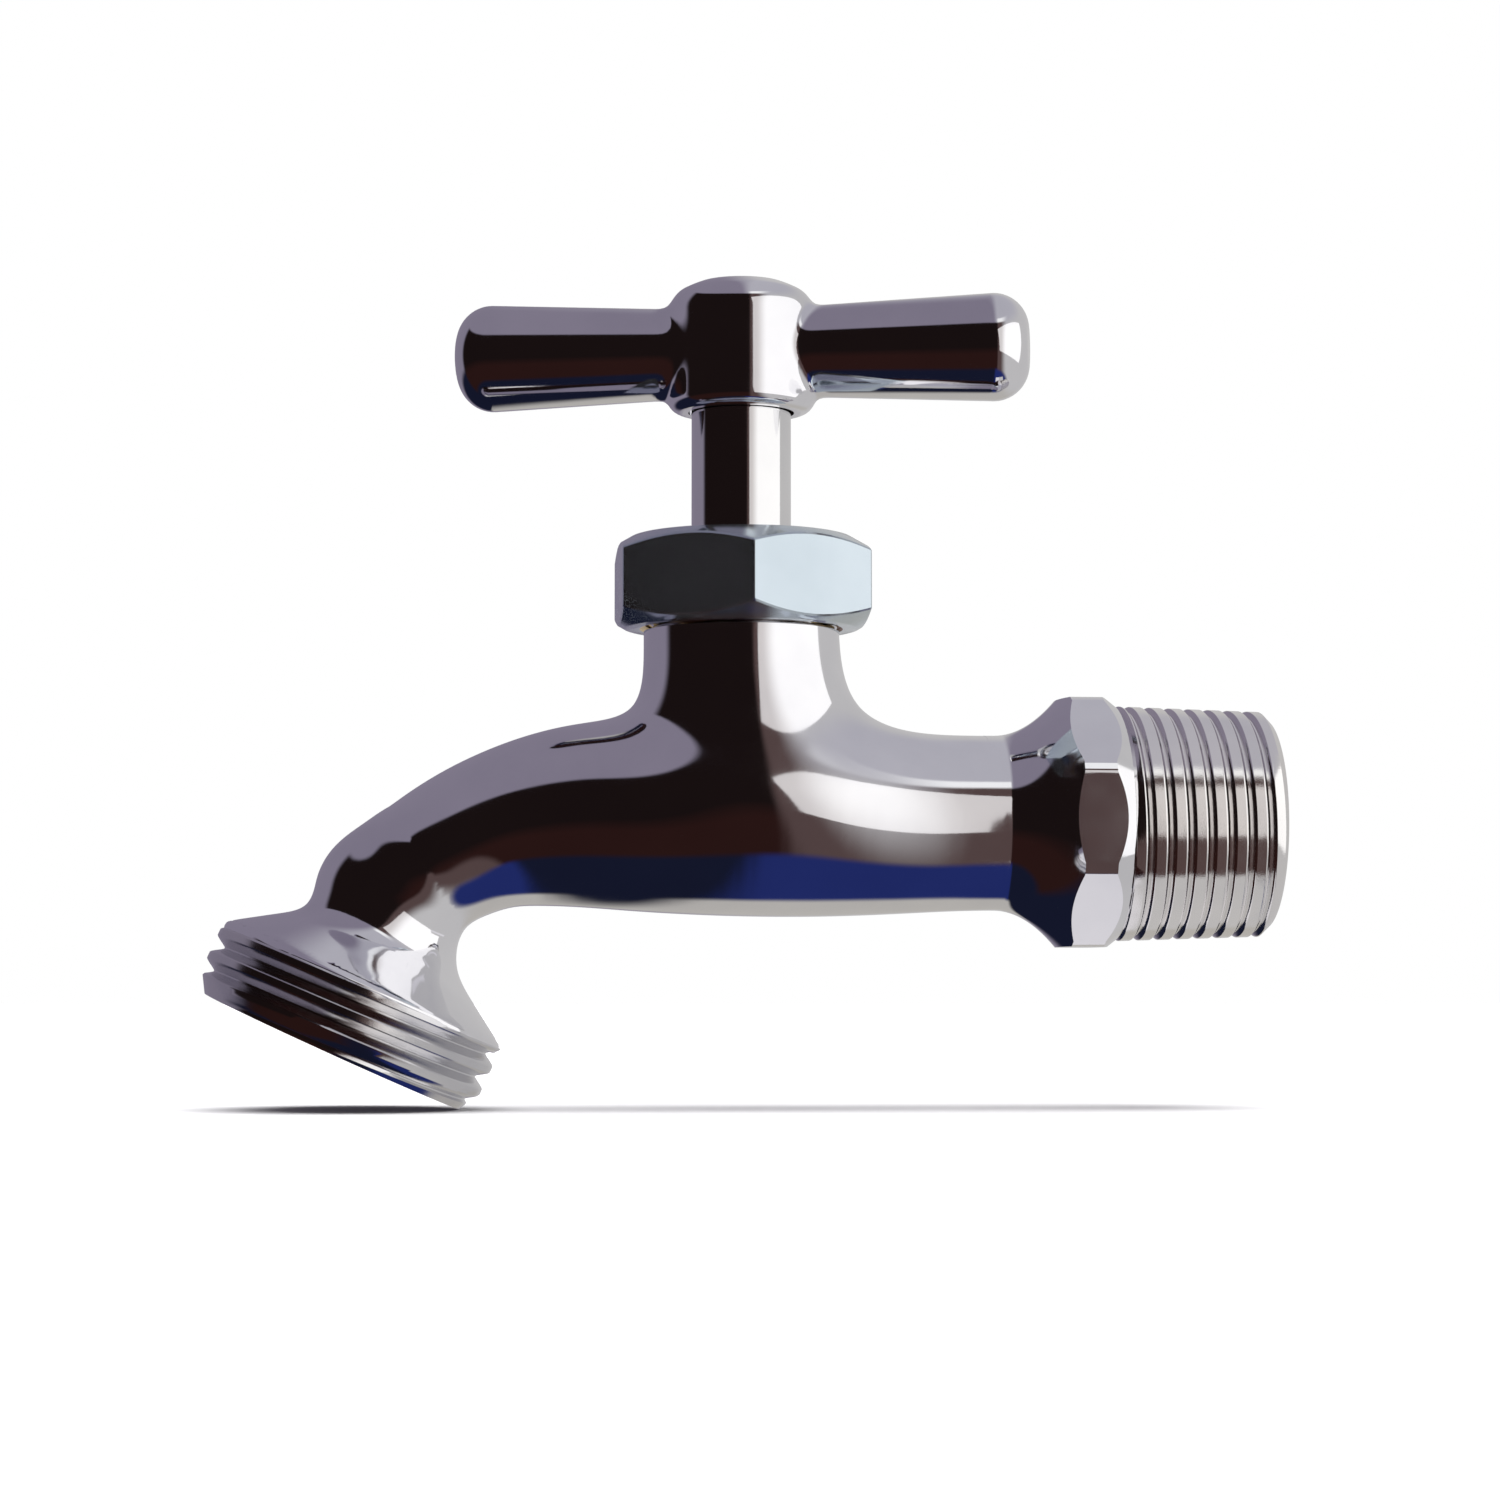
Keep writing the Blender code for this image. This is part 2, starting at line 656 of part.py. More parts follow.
def packing_washer(name, outer, faces):
    """A flat brass ring around the stem, below or above the packing."""
    profile = washer_profile(STEM_R + GAP, outer, *faces)
    return dress(turned(name, profile, 24, closed=True), "brass")


def stem_packing():
    """The compressed packing ring, round-shouldered as the nut leaves it."""
    inner = STEM_R + GAP
    low, high = PACKING
    lip = 0.3
    rounding = 0.5
    profile = [(inner, low + lip), (inner + lip, low)]
    profile += arc(PACKING_R - rounding, low + rounding, rounding, -90, 0, 3)
    profile += arc(PACKING_R - rounding, high - rounding, rounding, 0, 90, 3)
    profile += [(inner + lip, high), (inner, high - lip)]
    return dress(turned("stem_packing", profile, 24, closed=True), "graphite")


def packing_nut():
    """The hexagonal nut, with chamfered ends, an internal thread and a hole for the stem."""
    corner = NUT_FLATS / math.sqrt(3)
    nut = hexagon("packing_nut", NUT_FLATS, NUT_BOTTOM - 1, NUT_TOP + 1)
    slope = math.tan(math.radians(30))
    reach = corner + 1
    crown = [
        (NUT_CROWN_R + 0.6, NUT_BOTTOM), (reach, NUT_BOTTOM + (reach - NUT_CROWN_R - 0.6) * slope),
        (reach, NUT_TOP - (reach - NUT_CROWN_R) * slope), (NUT_CROWN_R, NUT_TOP),
    ]
    combine(nut, turned("crown", crown, 36), operation="INTERSECT")
    base = NECK_THREAD_BASE - NECK_THREAD_PITCH
    female = thread(
        "nut_thread", NECK_R + GAP - 0.1, NECK_THREAD_DEPTH, NECK_THREAD_PITCH,
        NUT_THREAD_TOP - base, 22, Matrix.Translation((STEM_X, 0, base)), ease=0.04, tip=(9, 9),
    )
    core = NECK_R + GAP - NECK_THREAD_DEPTH - CORE_EASE
    cavity = [
        (core + 1.9, NUT_BOTTOM - 1), (core, NUT_BOTTOM + 0.9), (core, NUT_THREAD_TOP + 0.7),
        (7.7, NUT_THREAD_TOP + 0.9), (7.7, NUT_ROOF), (STEM_R + GAP, NUT_ROOF),
        (STEM_R + GAP, NUT_TOP + 1),
    ]
    combine(nut, combine(female, turned("cavity", cavity, 24), operation="UNION"))
    return dress(nut, "chrome")


def handle():
    """The T handle: a domed hub with two round arms that swell towards their ends."""
    dome = arc(0, HUB_TOP - DOME_R, DOME_R, 90, 61, 4)[1:]
    shoulder_z = HUB_TOP - 2.9
    profile = [
        (HUB_R - 0.9, HUB_BOTTOM), (HUB_R - 0.3, HUB_BOTTOM + 0.25), (HUB_R, HUB_BOTTOM + 0.9),
        (HUB_R, shoulder_z), (HUB_R - 0.3, shoulder_z + 0.9),
    ]
    hub = turned("handle", profile + dome[::-1], 32)
    outline = [(ARM_ROOT_R - 0.2, 1.0), (ARM_END_R, ARM_REACH - ARM_EDGE_R)]
    outline += arc(ARM_END_R - ARM_EDGE_R, ARM_REACH - ARM_EDGE_R, ARM_EDGE_R, 0, 90, 4)[1:]
    for direction in (1, -1):
        axis = direction * Vector((math.cos(HANDLE_TURN), math.sin(HANDLE_TURN), 0))
        arm = turned("arm", outline, 24, along(axis, (STEM_X, 0, ARM_Z)))
        combine(hub, arm, operation="UNION")
    bore = [(STEM_R + GAP, HUB_BOTTOM - 1), (STEM_R + GAP, STEM_SHOULDER + GAP)]
    square = square_taper("square_hole", STEM_SQUARE + 2 * GAP, STEM_SHOULDER - 1, STEM_TOP + GAP)
    screw_way = [
        (SCREW_R + GAP, STEM_TOP - 1), (SCREW_R + GAP, RECESS_FLOOR),
        (SCREW_HEAD_R + 0.4, RECESS_FLOOR), (SCREW_HEAD_R + 0.4, HUB_TOP + 1),
    ]
    combine(hub, turned("bore", bore, 28), square, turned("screw_way", screw_way, 28))
    return dress(hub, "chrome")


def handle_screw():
    """The oval-head screw that holds the handle on the stem."""
    under = RECESS_FLOOR + GAP
    profile = [(SCREW_R - 0.5, 40.9), (SCREW_R, 41.5), (SCREW_R, under), (SCREW_HEAD_R, under)]
    profile += [(SCREW_HEAD_R, under + 0.9), (2.6, under + 1.5), (1.3, under + 1.8)]
    screw = turned("handle_screw", profile, 24)
    combine(screw, slot_cutter((STEM_X, 0, under + 1.9), (4.5, 0.5, 1.1), HANDLE_TURN))
    return dress(screw, "chrome")


def hang(name, pieces):
    """Parents moving pieces to an empty on the stem's axis, their origins included."""
    axis = bpy.data.objects.new(name, None)
    axis.location = (STEM_X * MM, 0, 0)
    bpy.context.scene.collection.objects.link(axis)
    for piece in pieces:
        piece.data.transform(Matrix.Translation(-axis.location))
        piece.parent = axis


def build():
    """Makes every piece, then hangs the moving ones on their joints' axis."""
    for old in list(bpy.data.objects):
        bpy.data.objects.remove(old)
    pieces = [
        valve_body(),
        seat_ring(),
        packing_washer("packing_washer_lower", LOWER_WASHER_R, LOWER_WASHER),
        stem_packing(),
        packing_washer("packing_washer_upper", PACKING_R, UPPER_WASHER),
        packing_nut(),
    ]
    lifting = [disc_holder(), seat_washer(), washer_screw()]
    turning = [stem(), handle(), handle_screw()]
    hang("stem_lift_axis", lifting)
    hang("handle_turn_axis", turning)
    return pieces + lifting + turning


build()
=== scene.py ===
import json
import math

import bmesh
import bpy
import numpy as np
from mathutils import Matrix, Vector


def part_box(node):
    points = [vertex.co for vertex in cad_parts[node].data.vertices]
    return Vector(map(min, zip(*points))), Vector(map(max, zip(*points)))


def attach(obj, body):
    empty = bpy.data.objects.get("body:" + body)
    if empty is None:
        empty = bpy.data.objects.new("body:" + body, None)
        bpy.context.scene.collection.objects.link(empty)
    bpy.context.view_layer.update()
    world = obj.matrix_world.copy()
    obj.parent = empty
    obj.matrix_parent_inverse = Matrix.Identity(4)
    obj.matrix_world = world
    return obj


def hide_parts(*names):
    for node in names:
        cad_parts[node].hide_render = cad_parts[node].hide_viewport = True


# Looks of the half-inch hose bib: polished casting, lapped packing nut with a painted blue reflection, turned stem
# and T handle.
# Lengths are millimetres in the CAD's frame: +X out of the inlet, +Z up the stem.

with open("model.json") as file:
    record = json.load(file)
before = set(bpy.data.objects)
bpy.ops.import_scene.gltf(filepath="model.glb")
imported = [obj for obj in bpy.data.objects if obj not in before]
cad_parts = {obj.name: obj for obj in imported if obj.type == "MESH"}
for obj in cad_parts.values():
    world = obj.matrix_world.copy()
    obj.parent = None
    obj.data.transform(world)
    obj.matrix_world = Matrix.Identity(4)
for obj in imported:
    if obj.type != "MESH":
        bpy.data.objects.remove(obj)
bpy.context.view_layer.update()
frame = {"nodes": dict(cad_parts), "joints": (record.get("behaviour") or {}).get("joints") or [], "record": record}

MM = 0.001

# Running clearance, how far a threaded bore stays inside its thread's cutter so that the two never
# coincide, and how near two vertices merge.
GAP = 0.3
CORE_EASE = 0.12
MERGE = 1e-4

# Places that the CAD gives.
MOUNTS = {mount["name"]: mount for mount in frame["record"]["mounts"]}
JOINTS = {joint["name"]: joint for joint in frame["joints"]}
STEM_X = JOINTS["handle_turn"]["pos_m"][0] / MM
HOSE_MOUNT = MOUNTS["hose_washer_face"]
HOSE_FACE = Vector((HOSE_MOUNT["pos_m"][0], 0, HOSE_MOUNT["pos_m"][2])) / MM
HOSE_AXIS = Vector(HOSE_MOUNT["axis"])
NUT_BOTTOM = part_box("packing_nut")[0].z / MM
NUT_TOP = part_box("packing_nut")[1].z / MM
NECK_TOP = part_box("valve_body")[1].z / MM
STEM_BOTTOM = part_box("stem")[0].z / MM
STEM_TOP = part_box("stem")[1].z / MM
HUB_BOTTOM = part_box("handle")[0].z / MM
FLOOR_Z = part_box("valve_body")[0].z / MM

# Every thread: the share of its pitch that is flat at the crest and at the root, how much of its
# profile is rounded, and the share of a turn by which its start is turned.
THREAD_FLAT = 0.1
THREAD_ROUNDING = 0.6
THREAD_START = 0.07

# Inlet: 1/2-14 tapered pipe thread and its collar.
PIPE_PITCH = 25.4 / 14
PIPE_MAJOR_R = 10.67
PIPE_DEPTH = 0.42 * PIPE_PITCH
PIPE_EASE = 0.21
PIPE_LENGTH = 13.6
PIPE_TAPER = 1 / 32
PIPE_BORE_R = 6.6
WAIST_R = 7.9
COLLAR_FLATS = 22.4
COLLAR_R = 11.9
COLLAR_RISE = (-25.0, -18.6)
COLLAR_CHAMFER = 1.6
COLLAR_CORNER_R = 0.7
COLLAR_STEPS = 16
COLLAR_SKIN = 0.015

# Outlet: 3/4-11.5 garden-hose thread on a flared end.
HOSE_PITCH = 25.4 / 11.5
HOSE_MAJOR_R = 13.49
HOSE_DEPTH = 0.52 * HOSE_PITCH
HOSE_EASE = 0.08
HOSE_LENGTH = 6.2
HOSE_MOUTH_R = 8.2
SPOUT_BORE_R = 4.6
FLARE_R = HOSE_MAJOR_R - 0.2
FLARE_EDGE = 6.6
FLARE_SLOPE = math.radians(57)
FLARE_RIM = 1.0
FLARE_FILLET = 2.6
LEG_TOP = Vector((-79.3, 0.0, -6.9))
LEG_TILT = math.radians(11.5)
LEG_R = 6.7
LEG_BLEND = 2.4

# Neck, packing nut and lifting thread.
NECK_R = 8.8
NECK_BASE = 3.0
NECK_THREAD_BASE = 16.8
NECK_THREAD_PITCH = 1.27
NECK_THREAD_DEPTH = 0.7
FILLET_INLET = 12.5
FILLET_SPOUT = 6.5
NUT_FLATS = 22.2
NUT_CROWN_R = 9.9
NUT_CORNER_R = 0.35
NUT_SEAT_R = 7.7
NUT_ROOF = 24.1
NUT_THREAD_TOP = 20.9
LIFT_PITCH = 2.54
LIFT_MAJOR_R = 6.7
LIFT_DEPTH = 1.0
LIFT_ROOT_R = LIFT_MAJOR_R - LIFT_DEPTH
LIFT_BORE_TOP = 16.8
LIFT_RUN_OUT = 2.0
STEM_R = 4.5
STEM_THREAD = (7.6, 15.0)
STEM_SHOULDER = 37.7
STEM_SQUARE = 6.0
SQUARE_DRAFT = 0.28
CHAMBER_R = 7.1
CHAMBER_FLOOR = 0.4

# T handle.
HUB_R = 6.55
HUB_EDGE_R = 1.1
HUB_TOP = 49.6
DOME_R = 11.5
RECESS_FLOOR = HUB_TOP - 2.3
ARM_Z = 42.6
ARM_REACH = 26.1
ARM_ROOT_R = 3.85
ARM_END_R = 4.85
ARM_EDGE_R = 3.2
ARM_FILLET = 1.8
HANDLE_TURN = math.radians(-13)
SCREW_R = 1.9
SCREW_HEAD_R = 3.5
SCREW_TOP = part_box("handle_screw")[1].z / MM
SCREW_CROWN_R = 4.9

# Centre line of the casting: x, z, half height, half width.
CASTING_STATIONS = [
    (-18.0, 0.0, 7.9, 7.9),
    (-27.0, 0.0, 7.9, 7.9),
    (-33.0, -0.1, 8.1, 8.7),
    (-40.0, -0.1, 8.4, 9.7),
    (-47.9, 0.0, 8.5, 10.2),
    (-55.0, 0.5, 8.7, 9.7),
    (-61.0, 0.6, 8.4, 8.8),
    (-66.2, 0.0, 7.7, 8.1),
    (-70.5, -1.1, 6.9, 7.6),
    (-74.0, -2.8, 6.5, 7.4),
    (-76.2, -4.1, 6.2, 7.2),
]
INLET_WATERWAY = [
    (1.0, 0.0, PIPE_BORE_R, PIPE_BORE_R),
    (-27.0, 0.0, PIPE_BORE_R, PIPE_BORE_R),
    (-31.5, -0.7, 5.9, 6.3),
    (-35.5, -2.6, 4.0, 6.0),
    (-39.0, -4.0, 2.7, 5.6),
    (-48.0, -4.1, 2.6, 5.6),
    (-52.0, -4.1, 2.3, 4.6),
    (-54.0, -4.1, 1.4, 2.8),
]
SPOUT_WATERWAY = [
    (-49.5, 4.9, SPOUT_BORE_R, SPOUT_BORE_R),
    (-56.0, 3.5, SPOUT_BORE_R, SPOUT_BORE_R),
    (-61.0, 1.7, SPOUT_BORE_R, SPOUT_BORE_R),
    (-66.2, 0.1, SPOUT_BORE_R, SPOUT_BORE_R),
    (-70.5, -1.2, SPOUT_BORE_R, SPOUT_BORE_R),
    (-74.0, -3.0, SPOUT_BORE_R, SPOUT_BORE_R),
    (-77.2, -5.6, SPOUT_BORE_R, SPOUT_BORE_R),
    (-79.3, -8.9, SPOUT_BORE_R, SPOUT_BORE_R),
    (-80.4, -11.9, 5.0, 5.0),
]

# The skins: their voxels, how near a vertex lies to the true surface, and how squarely a face looks
# along it, to take the surface's own normal.
CASTING_VOXEL = 0.45
HANDLE_VOXEL = 0.42
SKIN_NEAR = 0.06
SKIN_FACING = 0.8

# Camera and studio.
CAMERA_PLACE = Vector((-77.3, -320.0, -15.6))
CAMERA_AIM = Vector((-47.1, 0.0, 6.5))
CAMERA_LENS = 85.8
CAMERA_SENSOR = 36


# ---------------------------------------------------------------- mesh helpers


def make_object(name, bm, material):
    """An object in metres from a bmesh in millimetres."""
    bmesh.ops.remove_doubles(bm, verts=bm.verts, dist=MERGE)
    bmesh.ops.recalc_face_normals(bm, faces=bm.faces)
    mesh = bpy.data.meshes.new(name)
    bm.to_mesh(mesh)
    bm.free()
    mesh.transform(Matrix.Scale(MM, 4))
    mesh.materials.append(material)
    obj = bpy.data.objects.new(name, mesh)
    bpy.context.scene.collection.objects.link(obj)
    return obj


def bridge(bm, rings):
    """Quads between neighbouring rings of vertices, capped at both ends."""
    count = len(rings[0])
    for low, high in zip(rings, rings[1:]):
        for j in range(count):
            after = (j + 1) % count
            bm.faces.new((low[j], low[after], high[after], high[j]))
    bm.faces.new(rings[0][::-1])
    bm.faces.new(rings[-1])


def along(axis, base=(0, 0, 0)):
    """The transform that stands a shape made around +Z on the given axis."""
    turn = Vector((0, 0, 1)).rotation_difference(Vector(axis)).to_matrix().to_4x4()
    return Matrix.Translation(Vector(base)) @ turn


def on_stem(z=0.0):
    return Matrix.Translation((STEM_X, 0, z))


def turned(name, profile, material, segments=96, place=None):
    """A profile of (radius, height) points turned around +Z and capped at both ends."""
    place = place or on_stem()
    bm = bmesh.new()
    rings = []
    for radius, height in profile:
        angles = [2 * math.pi * (j + 0.5) / segments for j in range(segments)]
        points = [Vector((radius * math.cos(a), radius * math.sin(a), height)) for a in angles]
        rings.append([bm.verts.new(place @ point) for point in points])
    bridge(bm, rings)
    return make_object(name, bm, material)


def rounded(profile, radius, steps=3):
    """The profile with each inner corner replaced by a small curve."""
    points = [profile[0]]
    for before, corner, after in zip(profile, profile[1:], profile[2:]):
        corner = Vector(corner)
        back = Vector(before) - corner
        ahead = Vector(after) - corner
        reach = min(radius, 0.45 * back.length, 0.45 * ahead.length)
        start = corner + back.normalized() * reach
        end = corner + ahead.normalized() * reach
        for i in range(steps + 1):
            t = i / steps
            points.append(tuple((1 - t)**2 * start + 2 * t * (1 - t) * corner + t**2 * end))
    points.append(profile[-1])
    return points


def arc(center_z, radius, start, end, steps):
    """Points of an arc about the axis in a turned profile, with its angles in degrees."""
    angles = [math.radians(start + (end - start) * i / steps) for i in range(steps + 1)]
    return [(radius * math.cos(a), center_z + radius * math.sin(a)) for a in angles]


def thread_height(phase, depth, ease):
    """Height of a thread's rounded profile at a phase of its pitch."""
    peak = 1 - abs(2 * (phase % 1.0) - 1)
    rise = min(max((peak - THREAD_FLAT + 2 * ease) / (1 - 2 * THREAD_FLAT), 0), 1)
    curved = depth * rise * rise * (3 - 2 * rise)
    return curved * THREAD_ROUNDING + depth * rise * (1 - THREAD_ROUNDING)


def thread_phases(ease):
    """The phases of the pitch at which a thread's profile has its points."""
    crest = (1 - THREAD_FLAT) / 2 - ease
    rise = [0.03, *(crest * share for share in (0.3, 0.6, 0.85, 1)), crest + 0.04]
    return rise + [1 - phase for phase in reversed(rise)]


def thread(name, major, depth, pitch, length, place, material, taper=0.0, ease=0.0, tip=(1, 1)):
    """A right-hand screw of the given length along +Z. Its crests fall to the root at both ends,
    as steeply as tip says. Ease widens the crests, as plating or a cutter's clearance does."""
    segments = 96
    phases = thread_phases(ease)
    turns = range(-2, math.ceil(length / pitch) + 2)
    bm = bmesh.new()
    columns = []
    for j in range(segments + 1):
        angle = 2 * math.pi * j / segments
        column = []
        for turn in turns:
            for phase in phases:
                z = pitch * (turn + phase + THREAD_START + angle / (2 * math.pi))
                z = min(max(z, 0.0), length)
                height = thread_height(phase, depth, ease)
                limit = min(z * tip[0], (length - z) * tip[1])
                radius = major - depth - taper * z + max(0.0, min(height, limit))
                point = Vector((radius * math.cos(angle), radius * math.sin(angle), z))
                column.append(bm.verts.new(place @ point))
        columns.append(column)
    for left, right in zip(columns, columns[1:]):
        for i in range(len(left) - 1):
            bm.faces.new((left[i], right[i], right[i + 1], left[i + 1]))
    bmesh.ops.remove_doubles(bm, verts=bm.verts, dist=MERGE)
    close_ends(bm)
    return make_object(name, bm, material)


def close_ends(bm):
    """Drops faces with no area and stray edges, then caps every open loop."""
    flat = [face for face in bm.faces if face.calc_area() < 1e-7]
    bmesh.ops.delete(bm, geom=flat, context="FACES")
    bmesh.ops.holes_fill(bm, edges=[edge for edge in bm.edges if edge.is_boundary])
    loose = [vert for vert in bm.verts if not vert.link_faces]
    bmesh.ops.delete(bm, geom=loose, context="VERTS")


def square_taper(name, width, low, high, material):
    """A slightly tapered square bar on the stem's axis, turned like the handle."""
    corner = width / math.sqrt(2)
    angles = [HANDLE_TURN + 2 * math.pi * (i + 0.5) / 4 for i in range(4)]
    bm = bmesh.new()
    rings = []
    for reach, z in ((corner, low), (corner - SQUARE_DRAFT, high)):
        points = [(STEM_X + reach * math.cos(a), reach * math.sin(a), z) for a in angles]
        rings.append([bm.verts.new(point) for point in points])
    bridge(bm, rings)
    return make_object(name, bm, material)


def block(name, half_size, place, material):
    """A cutter block, for a slot or for cutting an end off square."""
    bm = bmesh.new()
    bmesh.ops.create_cube(bm, size=2)
    bmesh.ops.transform(bm, matrix=place @ Matrix.Diagonal((*half_size, 1)), verts=bm.verts)
    return make_object(name, bm, material)


def rounded_polygon(sides, flats, rounding):
    """Points round a regular polygon of the given width across its flats, with rounded corners."""
    inner = flats / 2 - rounding
    step = 2 * math.pi / sides
    half = inner * math.tan(step / 2)
    points = []
    for i in range(sides):
        normal = Vector((math.cos(step * i), math.sin(step * i)))
        side = Vector((-normal.y, normal.x))
        points += [normal * flats / 2 + side * half * (j / 6) for j in range(-6, 7)]
        corner = normal * inner + side * half
        for j in range(1, 5):
            points.append(corner + Matrix.Rotation(step * j / 5, 2) @ normal * rounding)
    return points


def end_cutter(axis, base):
    """A block that cuts away everything beyond base, along axis."""
    size = 20
    place = along(axis, base) @ Matrix.Translation((0, 0, size))
    return block("end_cutter", (size, size, size), place, CHROME)


def combine(base, *tools, operation="DIFFERENCE"):
    """Applies Boolean tools to base, one after another, and removes the tools."""
    for tool in tools:
        modifier = base.modifiers.new("combine", "BOOLEAN")
        modifier.operation = operation
        modifier.object = tool
        modifier.solver = "EXACT"
        modifier.material_mode = "TRANSFER"
        apply_modifiers(base)
        bpy.data.objects.remove(tool)
    return base


def apply_modifiers(obj):
    """Replaces the object's mesh with its evaluated one."""
    graph = bpy.context.evaluated_depsgraph_get()
    graph.update()
    mesh = bpy.data.meshes.new_from_object(obj.evaluated_get(graph))
    obj.modifiers.clear()
    obj.data = mesh


def smooth(obj, degrees=32):
    obj.data.shade_smooth()
    obj.data.set_sharp_from_angle(angle=math.radians(degrees))
    return obj


# ---------------------------------------------------------------- surfaces made from a distance


def smooth_rows(stations, steps):
    """Catmull-Rom rows through the stations, as an array with one row for each section."""
    rows = [stations[0], *stations, stations[-1]]
    points = []
    for a, b, c, d in zip(rows, rows[1:], rows[2:], rows[3:]):
        a, b, c, d = (np.array(row, float) for row in (a, b, c, d))
        for i in range(steps):
            t = i / steps
            points.append(
                0.5 * (2 * b + (c - a) * t + (2 * a - 5 * b + 4 * c - d) * t**2
                       + (3 * b - a - 3 * c + d) * t**3)
            )
    points.append(np.array(stations[-1], float))
    return np.array(points)


def section_frames(sections):
    """Each section's centre, and the unit direction across it in the XZ plane."""
    centers = np.stack([sections[:, 0], np.zeros(len(sections)), sections[:, 1]], axis=1)
    tangents = np.gradient(centers, axis=0)
    tangents /= np.linalg.norm(tangents, axis=1, keepdims=True)
    across = np.cross(tangents, np.array((0, 1, 0)))
    return centers, across


def swell(values, start, end):
    """0 before start, 1 after end, and an S-shaped rise between them."""
    t = np.clip((values - start) / (end - start), 0, 1)
    return t * t * (3 - 2 * t)


def even_rows(rows, passes):
    """The rows with their small irregularities evened out."""
    rows = rows.copy()
    for _ in range(passes):
        rows[1:-1] = 0.5 * rows[1:-1] + 0.25 * (rows[:-2] + rows[2:])
    return rows


def loft(name, sections, material, segments):
    """A closed tube of elliptical sections."""
    centers, across = section_frames(sections)
    bm = bmesh.new()
    rings = []
    for center, up, section in zip(centers, across, sections):
        ring = []
        for j in range(segments):
            angle = 2 * math.pi * j / segments
            offset = up * section[2] * math.cos(angle)
            offset = offset + np.array((0, section[3] * math.sin(angle), 0))
            ring.append(bm.verts.new(center + offset))
        rings.append(ring)
    bridge(bm, rings)
    return make_object(name, bm, material)


RUN = even_rows(smooth_rows(CASTING_STATIONS, 12), 40)
RUN_CENTERS = section_frames(RUN)[0]
RUN_STEPS = np.gradient(RUN_CENTERS, axis=0)
RUN_HALVES = RUN[:, 2:]


def between_rows(rows, place):
    """The rows' values at fractional row numbers."""
    low = np.clip(place.astype(int), 0, len(rows) - 2)
    share = (place - low)[:, None]
    return rows[low] * (1 - share) + rows[low + 1] * share


def run_distance(points):
    """Signed distance, near enough, from the casting's main run, which ends round."""
    last = len(RUN) - 1
    place = np.interp(-points[:, 0], -RUN_CENTERS[:, 0], np.arange(last + 1.0))
    for _ in range(6):
        offset = points - between_rows(RUN_CENTERS, place)
        step = between_rows(RUN_STEPS, place)
        place = np.clip(place + np.sum(offset * step, axis=1) / np.sum(step**2, axis=1), 0, last)
    offset = points - between_rows(RUN_CENTERS, place)
    half = between_rows(RUN_HALVES, place)
    rise = np.hypot(offset[:, 0], offset[:, 2])
    scaled = np.sqrt((rise / half[:, 0])**2 + (points[:, 1] / half[:, 1])**2 + 1e-9)
    return np.linalg.norm(offset, axis=1) * (1 - 1 / scaled)


def neck_distance(points):
    """Signed distance from the upright neck, which starts inside the run."""
    radial = np.hypot(points[:, 0] - STEM_X, points[:, 1]) - NECK_R
    below = NECK_BASE - points[:, 2]
    outside = np.hypot(np.maximum(radial, 0), np.maximum(below, 0))
    return outside + np.minimum(np.maximum(radial, below), 0)


def leg_distance(points):
    """Signed distance from the turned-down end of the spout, a rod with a ball end on top."""
    offset = points - np.array(LEG_TOP)
    axis = np.array((-math.sin(LEG_TILT), 0, -math.cos(LEG_TILT)))
    reach = np.maximum(offset @ axis, 0)
    return np.linalg.norm(offset - reach[:, None] * axis, axis=1) - LEG_R


def flare_distance(points):
    """Signed distance from the flare that carries the hose thread, a cone with a rounded rim."""
    offset = points - np.array(HOSE_FACE)
    reach = -offset @ np.array(HOSE_AXIS)
    radial = np.linalg.norm(offset + reach[:, None] * np.array(HOSE_AXIS), axis=1)
    cone = (radial - FLARE_R) * math.cos(FLARE_SLOPE) + (reach - FLARE_EDGE) * math.sin(FLARE_SLOPE)
    return -smooth_least(-cone, FLARE_R - radial, FLARE_RIM)


def smooth_least(first, second, blend):
    """The smaller of two distances, with a fillet where they meet."""
    mix = np.maximum(blend - np.abs(first - second), 0) / blend
    return np.minimum(first, second) - mix**3 * blend / 6


def casting_distance(points):
    """The run, leg, flare and neck, joined with fillets: a wide one from neck to inlet."""
    run = smooth_least(run_distance(points), leg_distance(points), LEG_BLEND)
    run = smooth_least(run, flare_distance(points), FLARE_FILLET)
    side = swell(points[:, 0], STEM_X - 1.5 * NECK_R, STEM_X + 1.5 * NECK_R)
    blend = FILLET_SPOUT + (FILLET_INLET - FILLET_SPOUT) * side
    return smooth_least(run, neck_distance(points), blend)


def rounded_solid(radial, height, edge):
    """Signed distance of a turned solid from its radial and its axial distance."""
    outside = np.hypot(np.maximum(radial + edge, 0), np.maximum(height + edge, 0))
    return outside + np.minimum(np.maximum(radial, height) + edge, 0) - edge


def hub_distance(points):
    """The handle's hub: an upright cylinder with a shallow dome."""
    radial = np.hypot(points[:, 0] - STEM_X, points[:, 1])
    dome = np.hypot(radial, points[:, 2] - (HUB_TOP - DOME_R)) - DOME_R
    height = np.maximum(HUB_BOTTOM - points[:, 2], dome)
    return rounded_solid(radial - HUB_R, height, HUB_EDGE_R)


